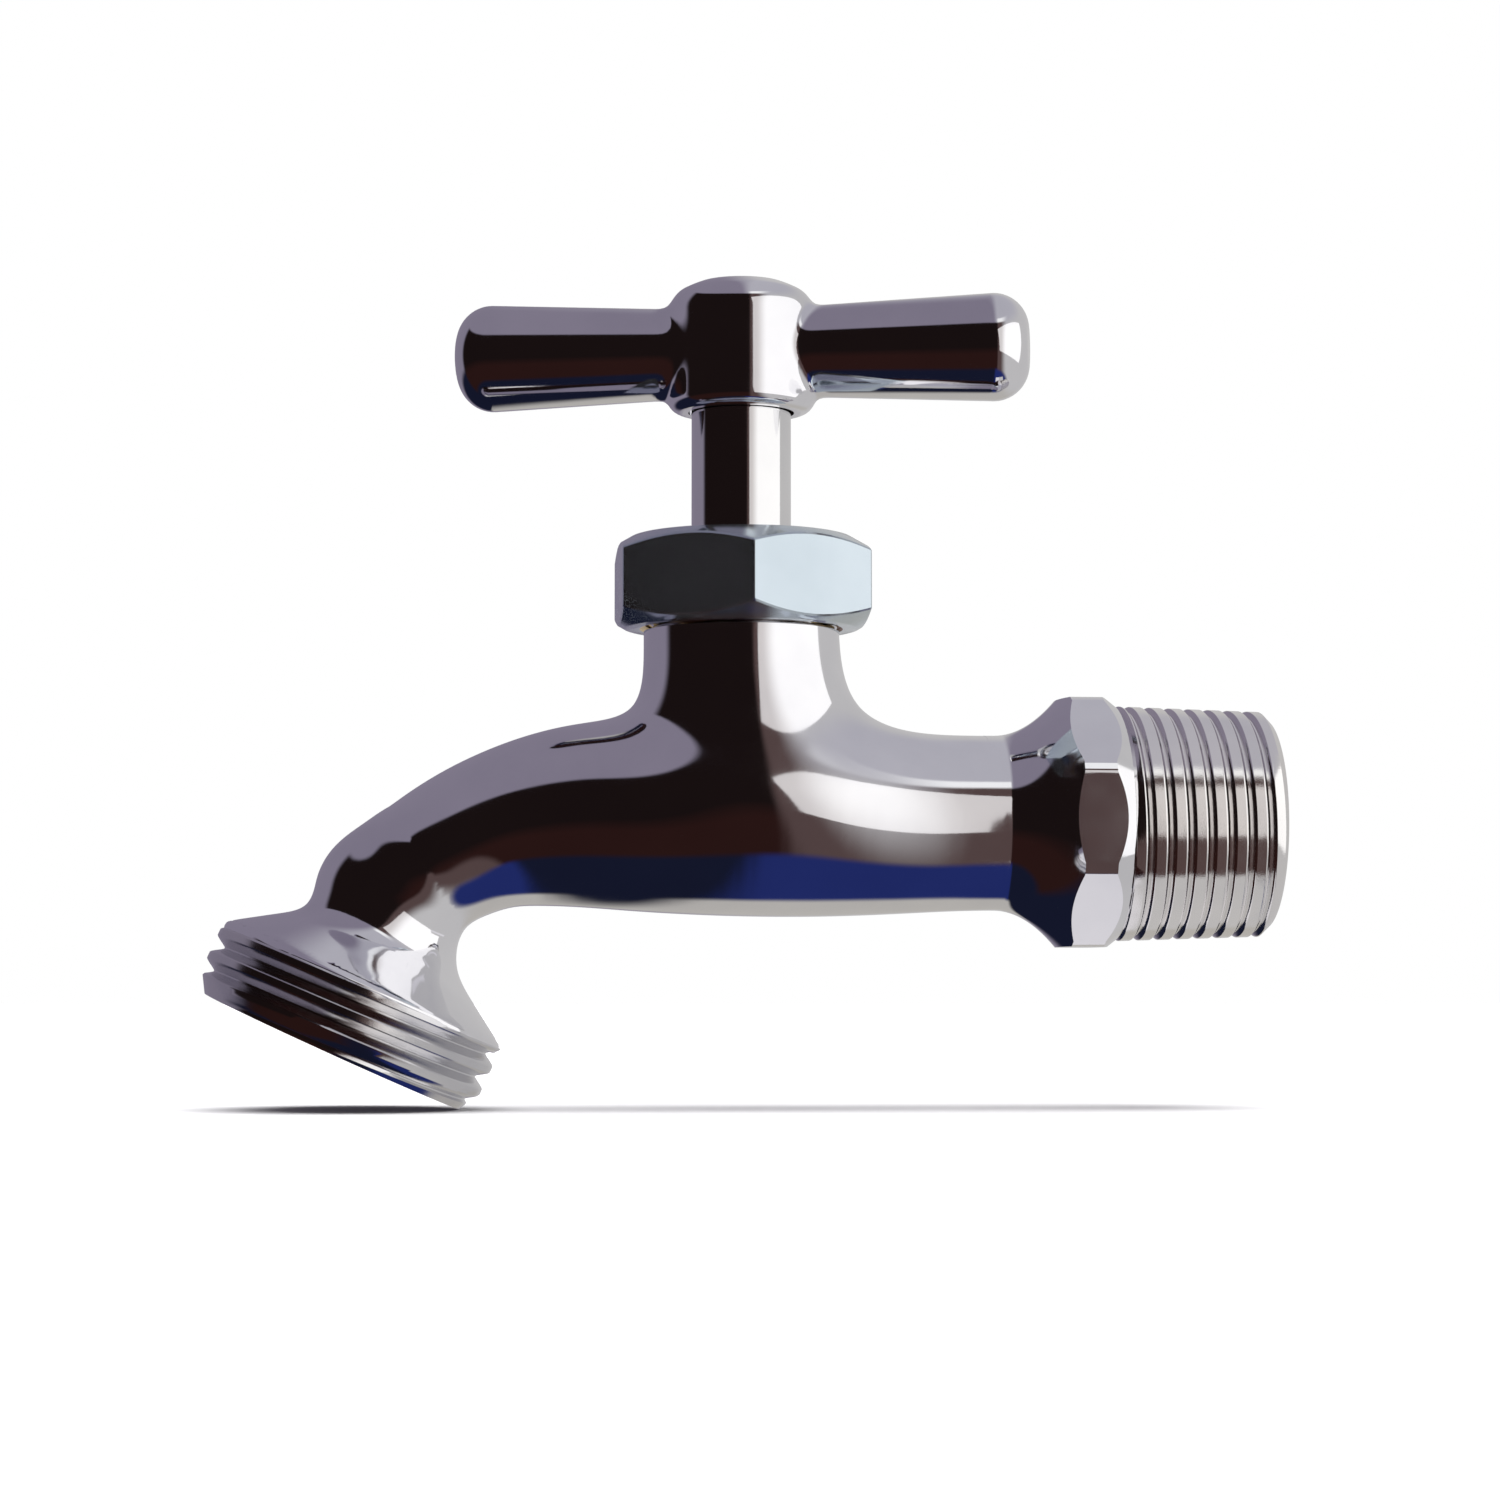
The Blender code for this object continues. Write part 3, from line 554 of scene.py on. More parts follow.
def arm_distance(points, direction):
    """One arm, a cone that widens to a rounded end."""
    axis = direction * np.array((math.cos(HANDLE_TURN), math.sin(HANDLE_TURN), 0))
    offset = points - np.array((STEM_X, 0, ARM_Z))
    reach = offset @ axis
    away = np.linalg.norm(offset - reach[:, None] * axis, axis=1)
    share = np.clip(reach / (ARM_REACH - ARM_EDGE_R), 0, 1)
    radius = ARM_ROOT_R + (ARM_END_R - ARM_ROOT_R) * share
    return rounded_solid(away - radius, np.maximum(reach - ARM_REACH, -reach), ARM_EDGE_R)


def handle_distance(points):
    """Hub and arms, joined with a small fillet."""
    arms = np.minimum(arm_distance(points, 1), arm_distance(points, -1))
    return smooth_least(hub_distance(points), arms, ARM_FILLET)


def slope_of(distance, points, reach=0.1):
    """A distance's value and gradient at each point, the gradient taken over twice the reach."""
    steps = [distance(points + reach * axis) - distance(points - reach * axis) for axis in np.eye(3)]
    return distance(points), np.stack(steps, axis=1) / (2 * reach)


def vertex_places(mesh):
    """The mesh's vertices in millimetres, one row each."""
    places = np.empty(len(mesh.vertices) * 3)
    mesh.vertices.foreach_get("co", places)
    return places.reshape(-1, 3) / MM


def even_skin(obj, distance, voxel, keep, passes=5):
    """Remeshes obj evenly and moves its vertices onto the distance's surface where keep allows."""
    remesh = obj.modifiers.new("even", "REMESH")
    remesh.mode = "VOXEL"
    remesh.voxel_size = voxel * MM
    apply_modifiers(obj)
    mesh = obj.data
    points = vertex_places(mesh)
    edges = np.empty(len(mesh.edges) * 2, dtype=np.int64)
    mesh.edges.foreach_get("vertices", edges)
    edges = edges.reshape(-1, 2)
    degree = np.bincount(edges.ravel(), minlength=len(points))[:, None]
    inner = keep(points)[:, None]
    for _ in range(passes):
        total = np.zeros_like(points)
        np.add.at(total, edges[:, 0], points[edges[:, 1]])
        np.add.at(total, edges[:, 1], points[edges[:, 0]])
        points = np.where(inner, 0.5 * points + 0.5 * total / degree, points)
        for _ in range(2):
            value, slope = slope_of(distance, points)
            size = np.sum(slope**2, axis=1, keepdims=True) + 1e-6
            points = np.where(inner, points - value[:, None] * slope / size, points)
    mesh.vertices.foreach_set("co", (points * MM).ravel())
    mesh.update()
    return obj


def true_normals(obj, distance):
    """Gives the skin the distance's own normals, so that reflections run without ripples."""
    mesh = obj.data
    value, slope = slope_of(distance, vertex_places(mesh))
    slope /= np.linalg.norm(slope, axis=1, keepdims=True) + 1e-9
    on_skin = np.abs(value) < SKIN_NEAR
    normals = np.empty(len(mesh.loops) * 3)
    mesh.corner_normals.foreach_get("vector", normals)
    normals = normals.reshape(-1, 3)
    corner = np.empty(len(mesh.loops), dtype=np.int64)
    mesh.loops.foreach_get("vertex_index", corner)
    sizes = np.empty(len(mesh.polygons), dtype=np.int64)
    mesh.polygons.foreach_get("loop_total", sizes)
    facing = np.empty(len(mesh.polygons) * 3)
    mesh.polygons.foreach_get("normal", facing)
    facing = np.repeat(facing.reshape(-1, 3), sizes, axis=0)
    square_on = np.sum(facing * slope[corner], axis=1) > SKIN_FACING
    use = on_skin[corner] & square_on
    normals[use] = slope[corner][use]
    mesh.normals_split_custom_set(normals.tolist())


# ---------------------------------------------------------------- materials


def new_material(name):
    """A material with its node tree, its shader and the places of its surface in millimetres."""
    material = bpy.data.materials.new(name)
    material.use_nodes = True
    nodes = material.node_tree.nodes
    shader = nodes["Principled BSDF"]
    place = nodes.new("ShaderNodeTexCoord")
    scale = nodes.new("ShaderNodeVectorMath")
    scale.operation = "SCALE"
    scale.inputs["Scale"].default_value = 1 / MM
    material.node_tree.links.new(place.outputs["Object"], scale.inputs[0])
    return material, shader, scale.outputs[0]


def noise(material, place, per_mm, detail=3.0, stretch=None):
    """Noise with about per_mm bumps to the millimetre; stretch scales it along each axis."""
    tree = material.node_tree
    node = tree.nodes.new("ShaderNodeTexNoise")
    node.inputs["Scale"].default_value = per_mm
    node.inputs["Detail"].default_value = detail
    if stretch:
        mapping = tree.nodes.new("ShaderNodeMapping")
        mapping.inputs["Scale"].default_value = stretch
        tree.links.new(place, mapping.inputs["Vector"])
        place = mapping.outputs["Vector"]
    tree.links.new(place, node.inputs["Vector"])
    return node.outputs["Fac"]


def spread(material, value, low, high):
    """Maps the middle of a noise's range, where most of it lies, to low and high."""
    node = material.node_tree.nodes.new("ShaderNodeMapRange")
    node.inputs["From Min"].default_value = 0.3
    node.inputs["From Max"].default_value = 0.7
    node.inputs["To Min"].default_value = low
    node.inputs["To Max"].default_value = high
    material.node_tree.links.new(value, node.inputs["Value"])
    return node.outputs["Result"]


def mix_color(tree, share, first, second):
    """A colour between two, by a share from 0 to 1."""
    node = tree.nodes.new("ShaderNodeMix")
    node.data_type = "RGBA"
    tree.links.new(share, node.inputs["Factor"])
    for socket, value in ((node.inputs["A"], first), (node.inputs["B"], second)):
        if isinstance(value, tuple):
            socket.default_value = (*value, 1)
        else:
            tree.links.new(value, socket)
    return node.outputs["Result"]


def bump(material, height, depth_mm, normal=None):
    """A bump of the given depth, over an earlier one if there is one."""
    node = material.node_tree.nodes.new("ShaderNodeBump")
    node.inputs["Distance"].default_value = depth_mm * MM
    material.node_tree.links.new(height, node.inputs["Height"])
    if normal:
        material.node_tree.links.new(normal, node.inputs["Normal"])
    return node.outputs["Normal"]


def metal(name, dark, light, roughness, wave, grain, stretch=None, metallic=1.0):
    """A metal with slow changes of colour and gloss, a slightly wavy surface and a fine grain.
    Wave and grain are each (bumps to the millimetre, depth in millimetres)."""
    material, shader, place = new_material(name)
    tree = material.node_tree
    links = tree.links
    cloud = noise(material, place, 0.12, 4)
    haze = noise(material, place, 0.35, 6)
    fine = noise(material, place, grain[0], 2, stretch)
    slow = noise(material, place, wave[0], 1)
    shader.inputs["Metallic"].default_value = metallic
    color = mix_color(tree, spread(material, cloud, 0, 1), dark, light)
    links.new(color, shader.inputs["Base Color"])
    links.new(spread(material, haze, *roughness), shader.inputs["Roughness"])
    normal = bump(material, slow, wave[1])
    normal = bump(material, fine, grain[1], normal)
    links.new(normal, shader.inputs["Normal"])
    return material


def dull(name, dark, light, roughness, grain):
    """Rubber or packing: a speckled matt surface, its grain (bumps to the millimetre, depth)."""
    material, shader, place = new_material(name)
    tree = material.node_tree
    links = tree.links
    speck = noise(material, place, grain[0], 5)
    color = mix_color(tree, spread(material, speck, 0, 1), dark, light)
    links.new(color, shader.inputs["Base Color"])
    links.new(spread(material, speck, *roughness), shader.inputs["Roughness"])
    links.new(bump(material, speck, grain[1]), shader.inputs["Normal"])
    return material


CHROME = metal(
    "polished_chrome", (0.80, 0.80, 0.83), (0.88, 0.88, 0.90), roughness=(0.045, 0.085),
    wave=(0.16, 0.012), grain=(9, 0.0004),
)
THREAD_CHROME = metal(
    "threaded_chrome", (0.62, 0.62, 0.65), (0.76, 0.75, 0.75), roughness=(0.10, 0.20),
    wave=(0.5, 0.02), grain=(12, 0.004),
)
PIPE_CHROME = metal(
    "cut_pipe_thread", (0.82, 0.81, 0.81), (0.93, 0.91, 0.89), roughness=(0.08, 0.15),
    wave=(0.5, 0.02), grain=(12, 0.004),
)
# The packing nut's chrome: its blue tint is a painted blue reflection, and its small diffuse share stands for the
# lapped finish's haze.
NUT_CHROME_PAINTED_BLUE = metal(
    "lapped_chrome_painted_blue_reflection", (0.55, 0.63, 0.69), (0.61, 0.69, 0.75), roughness=(0.10, 0.17),
    wave=(0.3, 0.006), grain=(7, 0.0008), stretch=(0.3, 0.3, 4), metallic=0.975,
)
STEM_CHROME = metal(
    "turned_chrome", (0.80, 0.80, 0.81), (0.87, 0.87, 0.87), roughness=(0.05, 0.09),
    wave=(0.2, 0.002), grain=(8, 0.0006), stretch=(0.15, 0.15, 3),
)
BORE_BRASS = metal(
    "bored_brass", (0.50, 0.34, 0.13), (0.66, 0.48, 0.20), roughness=(0.25, 0.45),
    wave=(0.6, 0.03), grain=(6, 0.006),
)
TURNED_BRASS = metal(
    "turned_brass", (0.62, 0.44, 0.18), (0.76, 0.56, 0.26), roughness=(0.16, 0.28),
    wave=(0.4, 0.004), grain=(6, 0.003), stretch=(0.2, 0.2, 5),
)
RUBBER = dull(
    "moulded_rubber", (0.012, 0.012, 0.013), (0.03, 0.03, 0.032), roughness=(0.55, 0.8),
    grain=(2.5, 0.03),
)
PACKING = dull(
    "graphited_packing", (0.03, 0.03, 0.032), (0.09, 0.09, 0.095), roughness=(0.45, 0.7),
    grain=(1.6, 0.08),
)


# ---------------------------------------------------------------- pieces


def casting_core():
    """The run, leg, flare and neck in one skin, cut off square at its three ends. It starts from
    rough blanks, and is moved onto the true surface except near those ends."""
    margin = 1.5
    reach = 22
    core = loft("casting", RUN, CHROME, 64)
    flare = [(1.0, 0.0), (LEG_R, 4.0), (LEG_R, 12.0), (FLARE_R, 17.0), (FLARE_R, reach + 2.0)]
    flare_place = along(HOSE_AXIS, HOSE_FACE - HOSE_AXIS * reach)
    combine(
        core,
        turned("neck", [(NECK_R, NECK_BASE), (NECK_R, NECK_TOP)], CHROME),
        turned("flare", flare, CHROME, 96, flare_place),
        operation="UNION",
    )
    face = np.array(HOSE_FACE)
    axis = np.array(HOSE_AXIS)

    def keep(points):
        inside = points[:, 0] < COLLAR_RISE[0] + 3
        inside &= points[:, 2] < NECK_TOP - margin
        return inside & ((points - face) @ axis < -margin)

    even_skin(core, casting_distance, CASTING_VOXEL, keep)
    return combine(
        core,
        end_cutter((1, 0, 0), (COLLAR_RISE[0] + 1, 0, 0)),
        end_cutter((0, 0, 1), (STEM_X, 0, NUT_BOTTOM - 0.25)),
        end_cutter(HOSE_AXIS, HOSE_FACE - HOSE_AXIS * HOSE_LENGTH),
    )


def collar():
    """The eight-sided collar: its shoulder rises from the waist, and its far end is chamfered."""
    start, end = COLLAR_RISE
    skin = WAIST_R + COLLAR_SKIN
    profile = [(WAIST_R - 0.8, start - 1.4), (skin, start - 0.9)]
    for i in range(COLLAR_STEPS + 1):
        share = i / COLLAR_STEPS
        radius = skin + (COLLAR_R - WAIST_R) * share**2
        profile.append((radius, start + (end - start) * share))
    profile.append((COLLAR_R, -PIPE_LENGTH - COLLAR_CHAMFER * 1.3))
    profile.append((COLLAR_R - COLLAR_CHAMFER, -PIPE_LENGTH))
    outline = rounded_polygon(8, COLLAR_FLATS, COLLAR_CORNER_R)
    bm = bmesh.new()
    rings = []
    for x in (start - 2.0, 0.0):
        rings.append([bm.verts.new((x, point.x, point.y)) for point in outline])
    bridge(bm, rings)
    sides = make_object("sides", bm, CHROME)
    solid = turned("collar", profile, CHROME, 144, along((1, 0, 0)))
    return combine(solid, sides, operation="INTERSECT")


def hose_lip():
    """The turned lip between the flare and the hose thread."""
    inner = HOSE_MAJOR_R - HOSE_DEPTH - 1.0
    profile = [
        (inner, 5.4), (FLARE_R, 5.8), (FLARE_R, FLARE_EDGE), (FLARE_R - 0.7, FLARE_EDGE + 0.35),
        (inner, FLARE_EDGE + 0.4),
    ]
    profile = [(radius, -rise) for radius, rise in rounded(profile, 0.35)]
    return turned("lip", profile[::-1], CHROME, 144, along(HOSE_AXIS, HOSE_FACE))


def casting_threads():
    """The pipe thread, the hose thread and the neck's thread, each let into the core."""
    overlap = 0.5
    inlet = along((1, 0, 0), (-PIPE_LENGTH - overlap, 0, 0))
    outlet = along(HOSE_AXIS, HOSE_FACE - HOSE_AXIS * (HOSE_LENGTH + overlap))
    return [
        thread("pipe_thread", PIPE_MAJOR_R, PIPE_DEPTH, PIPE_PITCH, PIPE_LENGTH + overlap, inlet,
               PIPE_CHROME, taper=PIPE_TAPER, ease=PIPE_EASE, tip=(3, 1)),
        thread("hose_thread", HOSE_MAJOR_R, HOSE_DEPTH, HOSE_PITCH, HOSE_LENGTH + overlap, outlet,
               THREAD_CHROME, ease=HOSE_EASE, tip=(3, 0.6)),
        thread("neck_thread", NECK_R - 0.1, NECK_THREAD_DEPTH, NECK_THREAD_PITCH,
               NECK_TOP - NECK_THREAD_BASE, on_stem(NECK_THREAD_BASE), THREAD_CHROME),
    ]


def waterways():
    """The hollows that are cut from the casting: inlet way, seat port, chamber, spout and mouth."""
    core = LIFT_ROOT_R + GAP - CORE_EASE
    bore = LIFT_MAJOR_R + GAP + 0.1
    chamber = [
        (CHAMBER_R, CHAMBER_FLOOR), (CHAMBER_R, 8.9), (core, 9.9), (core, LIFT_BORE_TOP),
        (bore, LIFT_BORE_TOP + 0.3), (bore, NECK_TOP + 1),
    ]
    mouth = [
        (4.4, 0.0), (5.0, 0.8), (7.2, 3.2), (HOSE_MOUTH_R, 5.0), (HOSE_MOUTH_R, 10.0),
        (HOSE_MOUTH_R + 1.0, 11.0),
    ]
    mouth_place = along(HOSE_AXIS, HOSE_FACE - HOSE_AXIS * 10.5)
    inlet_edge = [(PIPE_BORE_R - 0.5, -1.1), (PIPE_BORE_R + 0.8, 0.2)]
    return [
        loft("inlet_way", smooth_rows(INLET_WATERWAY, 6), BORE_BRASS, 48),
        turned("inlet_edge", inlet_edge, BORE_BRASS, 96, along((1, 0, 0))),
        turned("seat_port", [(4.9, -4.1), (4.9, CHAMBER_FLOOR + 0.5)], BORE_BRASS, 64),
        turned("chamber", chamber, BORE_BRASS, 64),
        thread("female_thread", LIFT_MAJOR_R + GAP, LIFT_DEPTH, LIFT_PITCH,
               LIFT_BORE_TOP + LIFT_RUN_OUT - STEM_THREAD[0], on_stem(STEM_THREAD[0]), BORE_BRASS,
               ease=0.05, tip=(9, 9)),
        loft("spout_way", smooth_rows(SPOUT_WATERWAY, 6), BORE_BRASS, 40),
        turned("mouth", rounded(mouth, 0.4), CHROME, 96, mouth_place),
    ]


def casting():
    body = casting_core()
    combine(body, collar(), hose_lip(), *casting_threads(), operation="UNION")
    combine(body, *waterways())
    smooth(body)
    true_normals(body, casting_distance)
    return body


def packing_nut():
    """The hexagonal nut, with chamfered ends, an internal thread and a hole for the stem."""
    slope = math.tan(math.radians(30))
    low_r = NUT_CROWN_R + 0.6
    edge = 0.12
    bm = bmesh.new()
    rings = [[] for _ in range(8)]
    for point in rounded_polygon(6, NUT_FLATS, NUT_CORNER_R):
        reach = point.length
        way = point / reach
        bottom = NUT_BOTTOM + (reach - low_r) * slope
        top = NUT_TOP - (reach - NUT_CROWN_R) * slope
        stops = [
            (low_r - edge, NUT_BOTTOM), (low_r + edge, NUT_BOTTOM + edge * slope),
            (reach - edge, bottom - edge * slope), (reach, bottom + edge),
            (reach, top - edge), (reach - edge, top + edge * slope),
            (NUT_CROWN_R + edge, NUT_TOP - edge * slope), (NUT_CROWN_R - edge, NUT_TOP),
        ]
        for ring, (radius, z) in zip(rings, stops):
            ring.append(bm.verts.new((STEM_X + way.x * radius, way.y * radius, z)))
    bridge(bm, rings)
    # The nut's chrome carries a painted blue reflection in its colour.
    nut = make_object("nut", bm, NUT_CHROME_PAINTED_BLUE)
    base = NECK_THREAD_BASE - NECK_THREAD_PITCH
    female = thread(
        "nut_thread", NECK_R + GAP - 0.1, NECK_THREAD_DEPTH, NECK_THREAD_PITCH,
        NUT_THREAD_TOP - base, on_stem(base), TURNED_BRASS, ease=0.04, tip=(9, 9),
    )
    core = NECK_R + GAP - NECK_THREAD_DEPTH - CORE_EASE
    cavity = [
        (core + 1.9, NUT_BOTTOM - 1), (core, NUT_BOTTOM + 0.9), (core, NUT_THREAD_TOP + 0.7),
        (NUT_SEAT_R, NUT_THREAD_TOP + 0.9), (NUT_SEAT_R, NUT_ROOF), (STEM_R + GAP, NUT_ROOF),
        (STEM_R + GAP, NUT_TOP - 0.35), (STEM_R + GAP + 1.35, NUT_TOP + 1),
    ]
    combine(nut, combine(female, turned("cavity", cavity, TURNED_BRASS), operation="UNION"))
    return smooth(nut, 20)


def stem():
    """The stem: swivel socket, lifting thread, polished shaft, squared top and screw hole."""
    profile = [
        (LIFT_ROOT_R - 0.4, STEM_BOTTOM), (LIFT_ROOT_R, STEM_BOTTOM + 0.4),
        (LIFT_ROOT_R, STEM_THREAD[1]), (STEM_R, STEM_THREAD[1] + 0.4),
        (STEM_R, STEM_SHOULDER - 0.2), (STEM_R - 0.2, STEM_SHOULDER),
    ]
    shaft = turned("spindle", profile, STEM_CHROME)
    screw = thread(
        "stem_thread", LIFT_MAJOR_R, LIFT_DEPTH, LIFT_PITCH, STEM_THREAD[1] - STEM_THREAD[0],
        on_stem(STEM_THREAD[0]), TURNED_BRASS, tip=(1.2, 1.2),
    )
    square = square_taper("square", STEM_SQUARE, STEM_SHOULDER - 1, STEM_TOP, TURNED_BRASS)
    combine(shaft, screw, square, operation="UNION")
    socket = [(2.7, STEM_BOTTOM - 1), (2.7, 8.0), (3.1, 8.2), (3.1, 9.4), (2.0, 10.2)]
    hole = [(SCREW_R + GAP - 0.6, 39.6), (SCREW_R + GAP, 40.4), (SCREW_R + GAP, STEM_TOP + 1)]
    combine(
        shaft,
        turned("socket", socket, TURNED_BRASS, 48),
        turned("hole", hole, TURNED_BRASS, 48),
    )
    return smooth(shaft)


def handle():
    """The T handle: a domed hub and two arms that swell towards their ends."""
    hub = turned("tee_handle", [(HUB_R, HUB_BOTTOM), (HUB_R, HUB_TOP - 2), (3.0, HUB_TOP)], CHROME)
    outline = [
        (ARM_ROOT_R, 1.0), (ARM_END_R, ARM_REACH - ARM_EDGE_R), (ARM_END_R - 1.5, ARM_REACH),
    ]
    for direction in (1, -1):
        axis = direction * Vector((math.cos(HANDLE_TURN), math.sin(HANDLE_TURN), 0))
        arm = turned("arm", outline, CHROME, 48, along(axis, (STEM_X, 0, ARM_Z)))
        combine(hub, arm, operation="UNION")
    even_skin(hub, handle_distance, HANDLE_VOXEL, lambda points: np.ones(len(points), bool))
    bore = [(STEM_R + GAP, HUB_BOTTOM - 1), (STEM_R + GAP, STEM_SHOULDER + GAP)]
    square = square_taper(
        "square_hole", STEM_SQUARE + 2 * GAP, STEM_SHOULDER - 1, STEM_TOP + GAP, TURNED_BRASS
    )
    screw_way = [
        (SCREW_R + GAP, STEM_TOP - 1), (SCREW_R + GAP, RECESS_FLOOR),
        (SCREW_HEAD_R + 0.4, RECESS_FLOOR), (SCREW_HEAD_R + 0.4, HUB_TOP + 1),
    ]
    combine(hub, turned("bore", bore, CHROME), square, turned("screw_way", screw_way, CHROME))
    smooth(hub)
    true_normals(hub, handle_distance)
    return hub


def handle_screw():
    """The oval-head screw that holds the handle on the stem."""
    under = RECESS_FLOOR + GAP
    profile = [
        (SCREW_R - 0.5, 40.9), (SCREW_R, 41.5), (SCREW_R, under), (SCREW_HEAD_R - 0.1, under),
        (SCREW_HEAD_R, under + 0.15), (SCREW_HEAD_R, under + 0.5),
    ]
    crown = arc(SCREW_TOP - SCREW_CROWN_R, SCREW_CROWN_R, 50, 88, 8)
    profile += [point for point in crown if point[0] < SCREW_HEAD_R - 0.1]
    screw = turned("oval_screw", profile, STEM_CHROME, 64)
    slot_place = on_stem(under + 1.9) @ Matrix.Rotation(HANDLE_TURN, 4, "Z")
    slot = block("slot", (4.5, 0.5, 1.1), slot_place, STEM_CHROME)
    return smooth(combine(screw, slot))


def place_pieces():
    """Makes the pieces that stand for CAD nodes, and says what each rides on."""
    made = [
        (casting(), "casting", "valve_body", "chrome"),
        (packing_nut(), "casting", "packing_nut", "nut_chrome"),
        (stem(), "stem", "stem", "stem_chrome"),
        (handle(), "stem", "handle", "chrome"),
        (handle_screw(), "stem", "handle_screw", "stem_chrome"),
    ]
    for piece, body, node, slot in made:
        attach(piece, body)
        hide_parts(node)


def finish_inner_nodes():
    """Gives the CAD nodes that stay their brass, rubber and packing."""
    finishes = {
        "seat_ring": TURNED_BRASS,
        "packing_washer_lower": TURNED_BRASS,
        "packing_washer_upper": TURNED_BRASS,
        "disc_holder": TURNED_BRASS,
        "washer_screw": TURNED_BRASS,
        "seat_washer": RUBBER,
        "stem_packing": PACKING,
    }
    for node, material in finishes.items():
        mesh = frame["nodes"][node].data
        mesh.materials.clear()
        mesh.materials.append(material)


# ---------------------------------------------------------------- studio


def camera():
    data = bpy.data.cameras.new("camera")
    data.lens = CAMERA_LENS
    data.sensor_width = CAMERA_SENSOR
    data.clip_start = 0.01
    data.clip_end = 20
    obj = bpy.data.objects.new("camera", data)
    obj.location = CAMERA_PLACE * MM
    obj.rotation_euler = (CAMERA_AIM - CAMERA_PLACE).to_track_quat("-Z", "Y").to_euler()
    bpy.context.scene.collection.objects.link(obj)
    bpy.context.scene.camera = obj


def ramp(tree, value, stops):
    """A colour that follows a value through its stops of (position, colour)."""
    node = tree.nodes.new("ShaderNodeValToRGB")
    elements = node.color_ramp.elements
    while len(elements) < len(stops):
        elements.new(0.5)
    for element, (position, color) in zip(elements, stops):
        element.position = position
        element.color = (*color, 1)
    tree.links.new(value, node.inputs["Fac"])
    return node.outputs["Color"]


def to_unit_range(tree, value):
    """A value from -1 to 1, mapped to 0 to 1."""
    node = tree.nodes.new("ShaderNodeMath")
    node.operation = "MULTIPLY_ADD"
    tree.links.new(value, node.inputs[0])
    node.inputs[1].default_value = 0.5
    node.inputs[2].default_value = 0.5
    return node.outputs[0]


def fade(tree, value, start, end, first, second):
    """The first colour where the value is start, the second where it is end, smooth between."""
    node = tree.nodes.new("ShaderNodeMapRange")
    node.interpolation_type = "SMOOTHSTEP"
    node.inputs["From Min"].default_value = start
    node.inputs["From Max"].default_value = end
    tree.links.new(value, node.inputs["Value"])
    return mix_color(tree, node.outputs["Result"], first, second)


LAVENDER = (0.235, 0.210, 0.275)
COOL_GREY = (0.48, 0.47, 0.52)
BLACK = (0.010, 0.006, 0.006)
RED_BROWN = (0.024, 0.009, 0.008)
BROWN = (0.095, 0.062, 0.060)
NAVY = (0.016, 0.026, 0.14)
DARK_NAVY = (0.008, 0.010, 0.026)
PALE_GREY = (0.56, 0.55, 0.55)
SILVER = (0.76, 0.74, 0.77)
WARM_GREY = (0.50, 0.48, 0.45)
WHITE = (1.0, 1.0, 1.0)


def surroundings():
    """The room as the metal sees it, by direction: x to the right, y to the back, z up. In front
    it is black, red-brown lower down and brown towards the right, under a lavender sky whose lower
    edge is a white line on the right. Behind it is lavender, over dark navy on the left and warm
    grey on the right. The far right is grey, and the base is navy all round. The camera itself
    sees plain white."""
    world = bpy.data.worlds.new("studio")
    world.use_nodes = True
    tree = world.node_tree
    background = tree.nodes["Background"]
    place = tree.nodes.new("ShaderNodeTexCoord")
    split = tree.nodes.new("ShaderNodeSeparateXYZ")
    tree.links.new(place.outputs["Generated"], split.inputs[0])
    x, y, z = split.outputs
    above = fade(tree, x, -0.05, 0.18, LAVENDER, COOL_GREY)
    level = fade(tree, x, 0.0, 0.15, LAVENDER, PALE_GREY)
    low_back = fade(tree, x, -0.02, 0.04, DARK_NAVY, WARM_GREY)
    back = fade(tree, z, 0.5, 0.8, level, above)
    back = fade(tree, z, -0.35, -0.15, low_back, back)
    stops = [(0.10, RED_BROWN), (0.30, RED_BROWN), (0.42, BLACK), (1.0, BLACK)]
    front = ramp(tree, to_unit_range(tree, z), stops)
    front = fade(tree, x, 0.11, 0.2, front, BROWN)
    line = fade(tree, x, 0.08, 0.2, above, WHITE)
    line = fade(tree, z, 0.80, 0.77, above, line)
    right = fade(tree, z, 0.5, 0.8, PALE_GREY, COOL_GREY)
    base = fade(tree, x, 0.0, 0.1, DARK_NAVY, NAVY)
    room = fade(tree, z, 0.66, 0.71, front, line)
    room = fade(tree, y, 0.1, 0.3, room, back)
    room = fade(tree, x, 0.3, 0.6, room, right)
    room = fade(tree, z, -0.79, -0.88, room, base)
    path = tree.nodes.new("ShaderNodeLightPath")
    seen = mix_color(tree, path.outputs["Is Camera Ray"], room, WHITE)
    tree.links.new(seen, background.inputs["Color"])
    bpy.context.scene.world = world


def area_light(name, azimuth, elevation, distance, size, radiance, color):
    """A soft box aimed at the object. Azimuth 0 is on the camera's side, and 90 is to its right."""
    data = bpy.data.lights.new(name, "AREA")
    data.shape = "RECTANGLE"
    data.size, data.size_y = size
    data.energy = radiance * math.pi * size[0] * size[1]
    data.color = color
    a, e = math.radians(azimuth), math.radians(elevation)
    way = Vector((math.sin(a) * math.cos(e), -math.cos(a) * math.cos(e), math.sin(e)))
    obj = bpy.data.objects.new(name, data)
    obj.location = CAMERA_AIM * MM + way * distance
    obj.rotation_euler = way.to_track_quat("Z", "Y").to_euler()
    obj.visible_camera = False
    bpy.context.scene.collection.objects.link(obj)


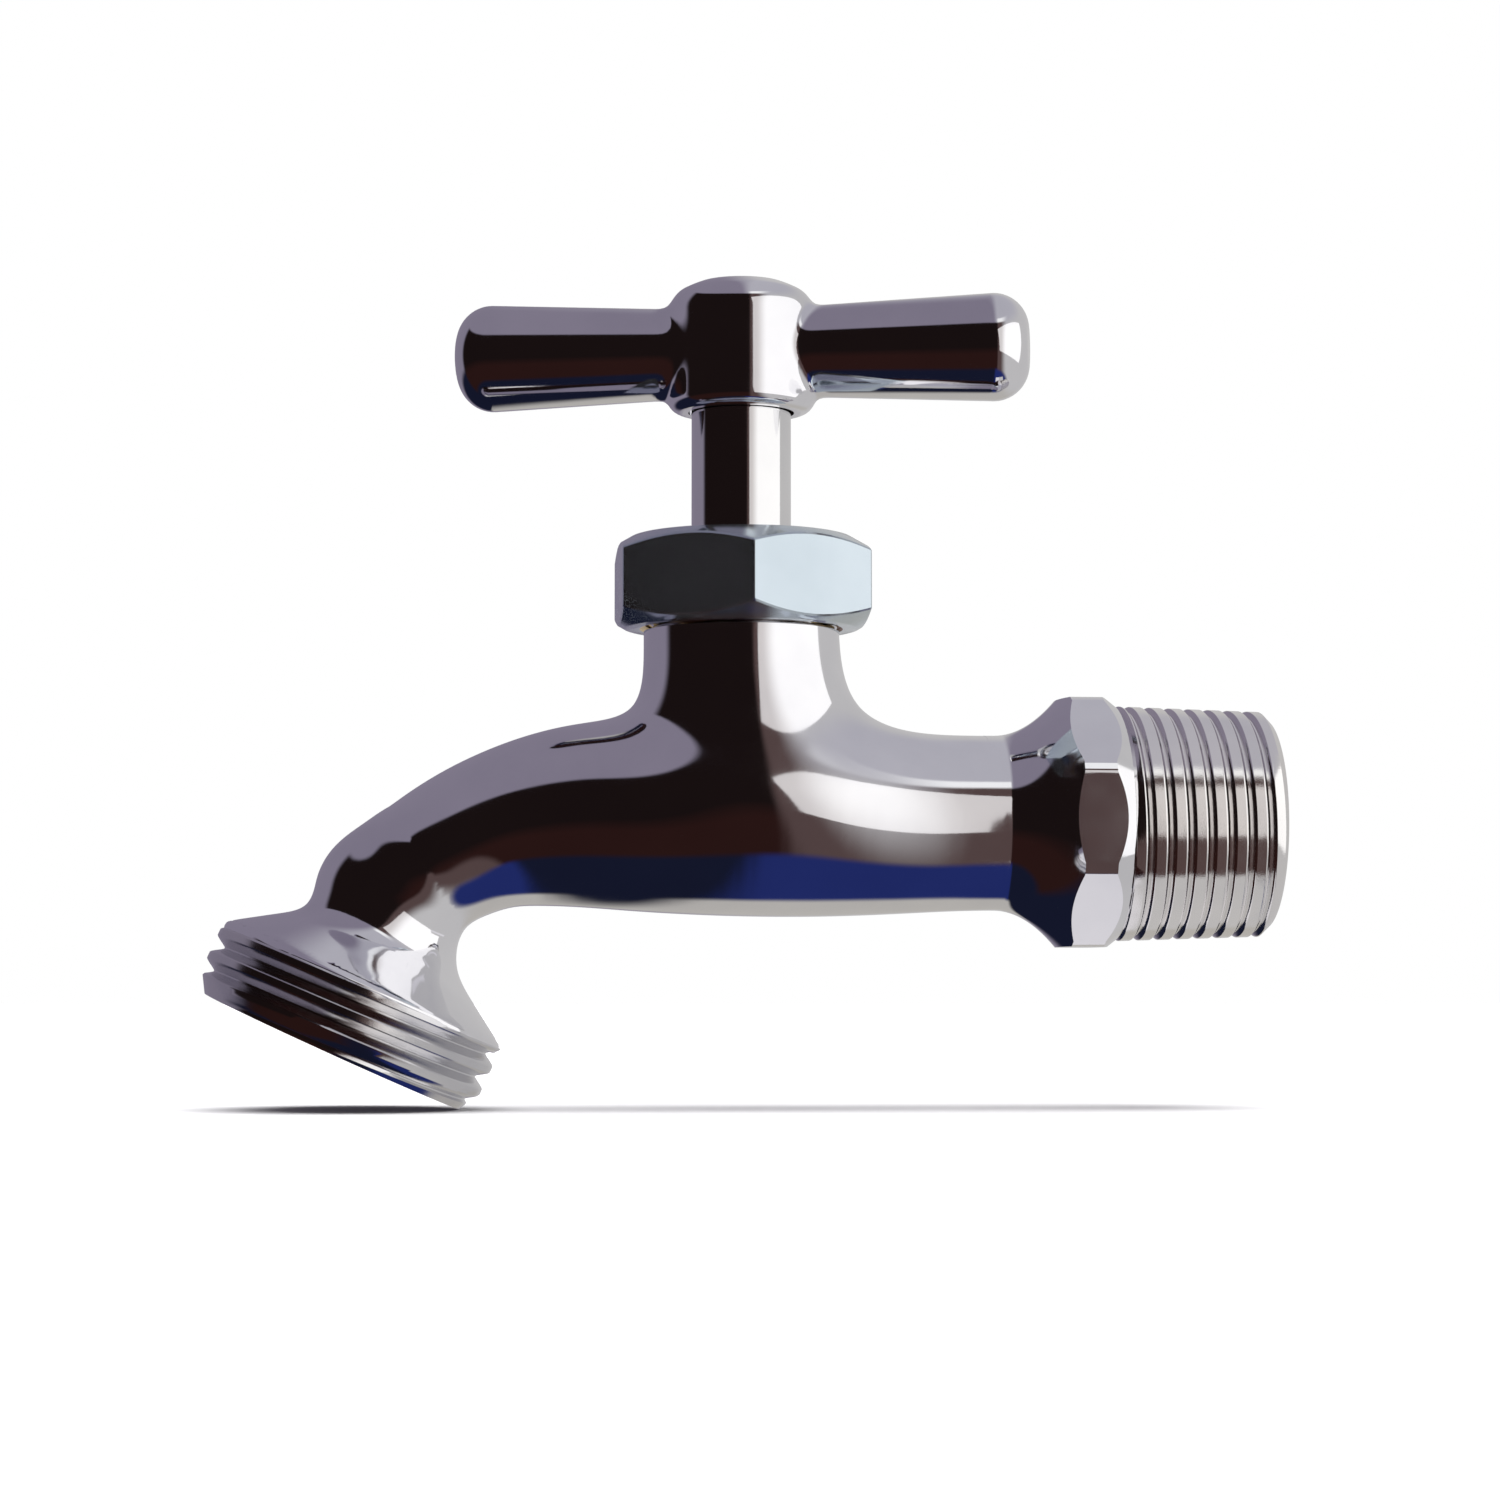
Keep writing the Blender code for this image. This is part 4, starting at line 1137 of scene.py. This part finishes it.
def floor():
    """A plain pale floor that the outlet rests on."""
    material, shader, place = new_material("pale_floor")
    tree = material.node_tree
    cloud = spread(material, noise(material, place, 0.02), 0, 1)
    shade = mix_color(tree, cloud, (0.86, 0.86, 0.86), (0.9, 0.9, 0.9))
    tree.links.new(shade, shader.inputs["Base Color"])
    shader.inputs["Roughness"].default_value = 0.9
    shader.inputs["Specular IOR Level"].default_value = 0.0
    bm = bmesh.new()
    bmesh.ops.create_circle(bm, cap_ends=True, segments=64, radius=4000)
    bmesh.ops.translate(bm, vec=(STEM_X, 0, FLOOR_Z - 0.05), verts=bm.verts)
    plane = make_object("floor", bm, material)
    plane.visible_glossy = False


def glow_card(name, low, high, z, color):
    """A level card between two corners (x, y), which only the metal's reflections see."""
    material = bpy.data.materials.new(name)
    material.use_nodes = True
    tree = material.node_tree
    tree.nodes.remove(tree.nodes["Principled BSDF"])
    glow = tree.nodes.new("ShaderNodeEmission")
    glow.inputs["Color"].default_value = (*color, 1)
    tree.links.new(glow.outputs[0], tree.nodes["Material Output"].inputs["Surface"])
    bm = bmesh.new()
    corners = [low, (high[0], low[1]), high, (low[0], high[1])]
    bm.faces.new([bm.verts.new((*corner, z)) for corner in corners])
    card = make_object(name, bm, material)
    card.visible_camera = False
    card.visible_diffuse = False
    card.visible_shadow = False


def sun(strength, degrees):
    """Soft light from above for the floor, from a disc that many degrees wide. The metal doesn't
    mirror it."""
    data = bpy.data.lights.new("overhead", "SUN")
    data.energy = strength
    data.angle = math.radians(degrees)
    obj = bpy.data.objects.new("overhead", data)
    obj.visible_glossy = False
    bpy.context.scene.collection.objects.link(obj)


def studio():
    camera()
    surroundings()
    floor()
    area_light(
        "key", azimuth=55, elevation=10, distance=0.75, size=(1.29, 0.8), radiance=0.63,
        color=(1.0, 0.99, 0.97),
    )
    sun(4.2, 70)
    below = FLOOR_Z - 1.5
    glow_card("collar_glow", (-18.5, -24), (-8, 12), below, SILVER)
    glow_card("thread_glow", (-8, -24), (6, 12), below, PALE_GREY)
    bpy.context.scene.view_settings.view_transform = "Standard"


studio()
place_pieces()
finish_inner_nodes()
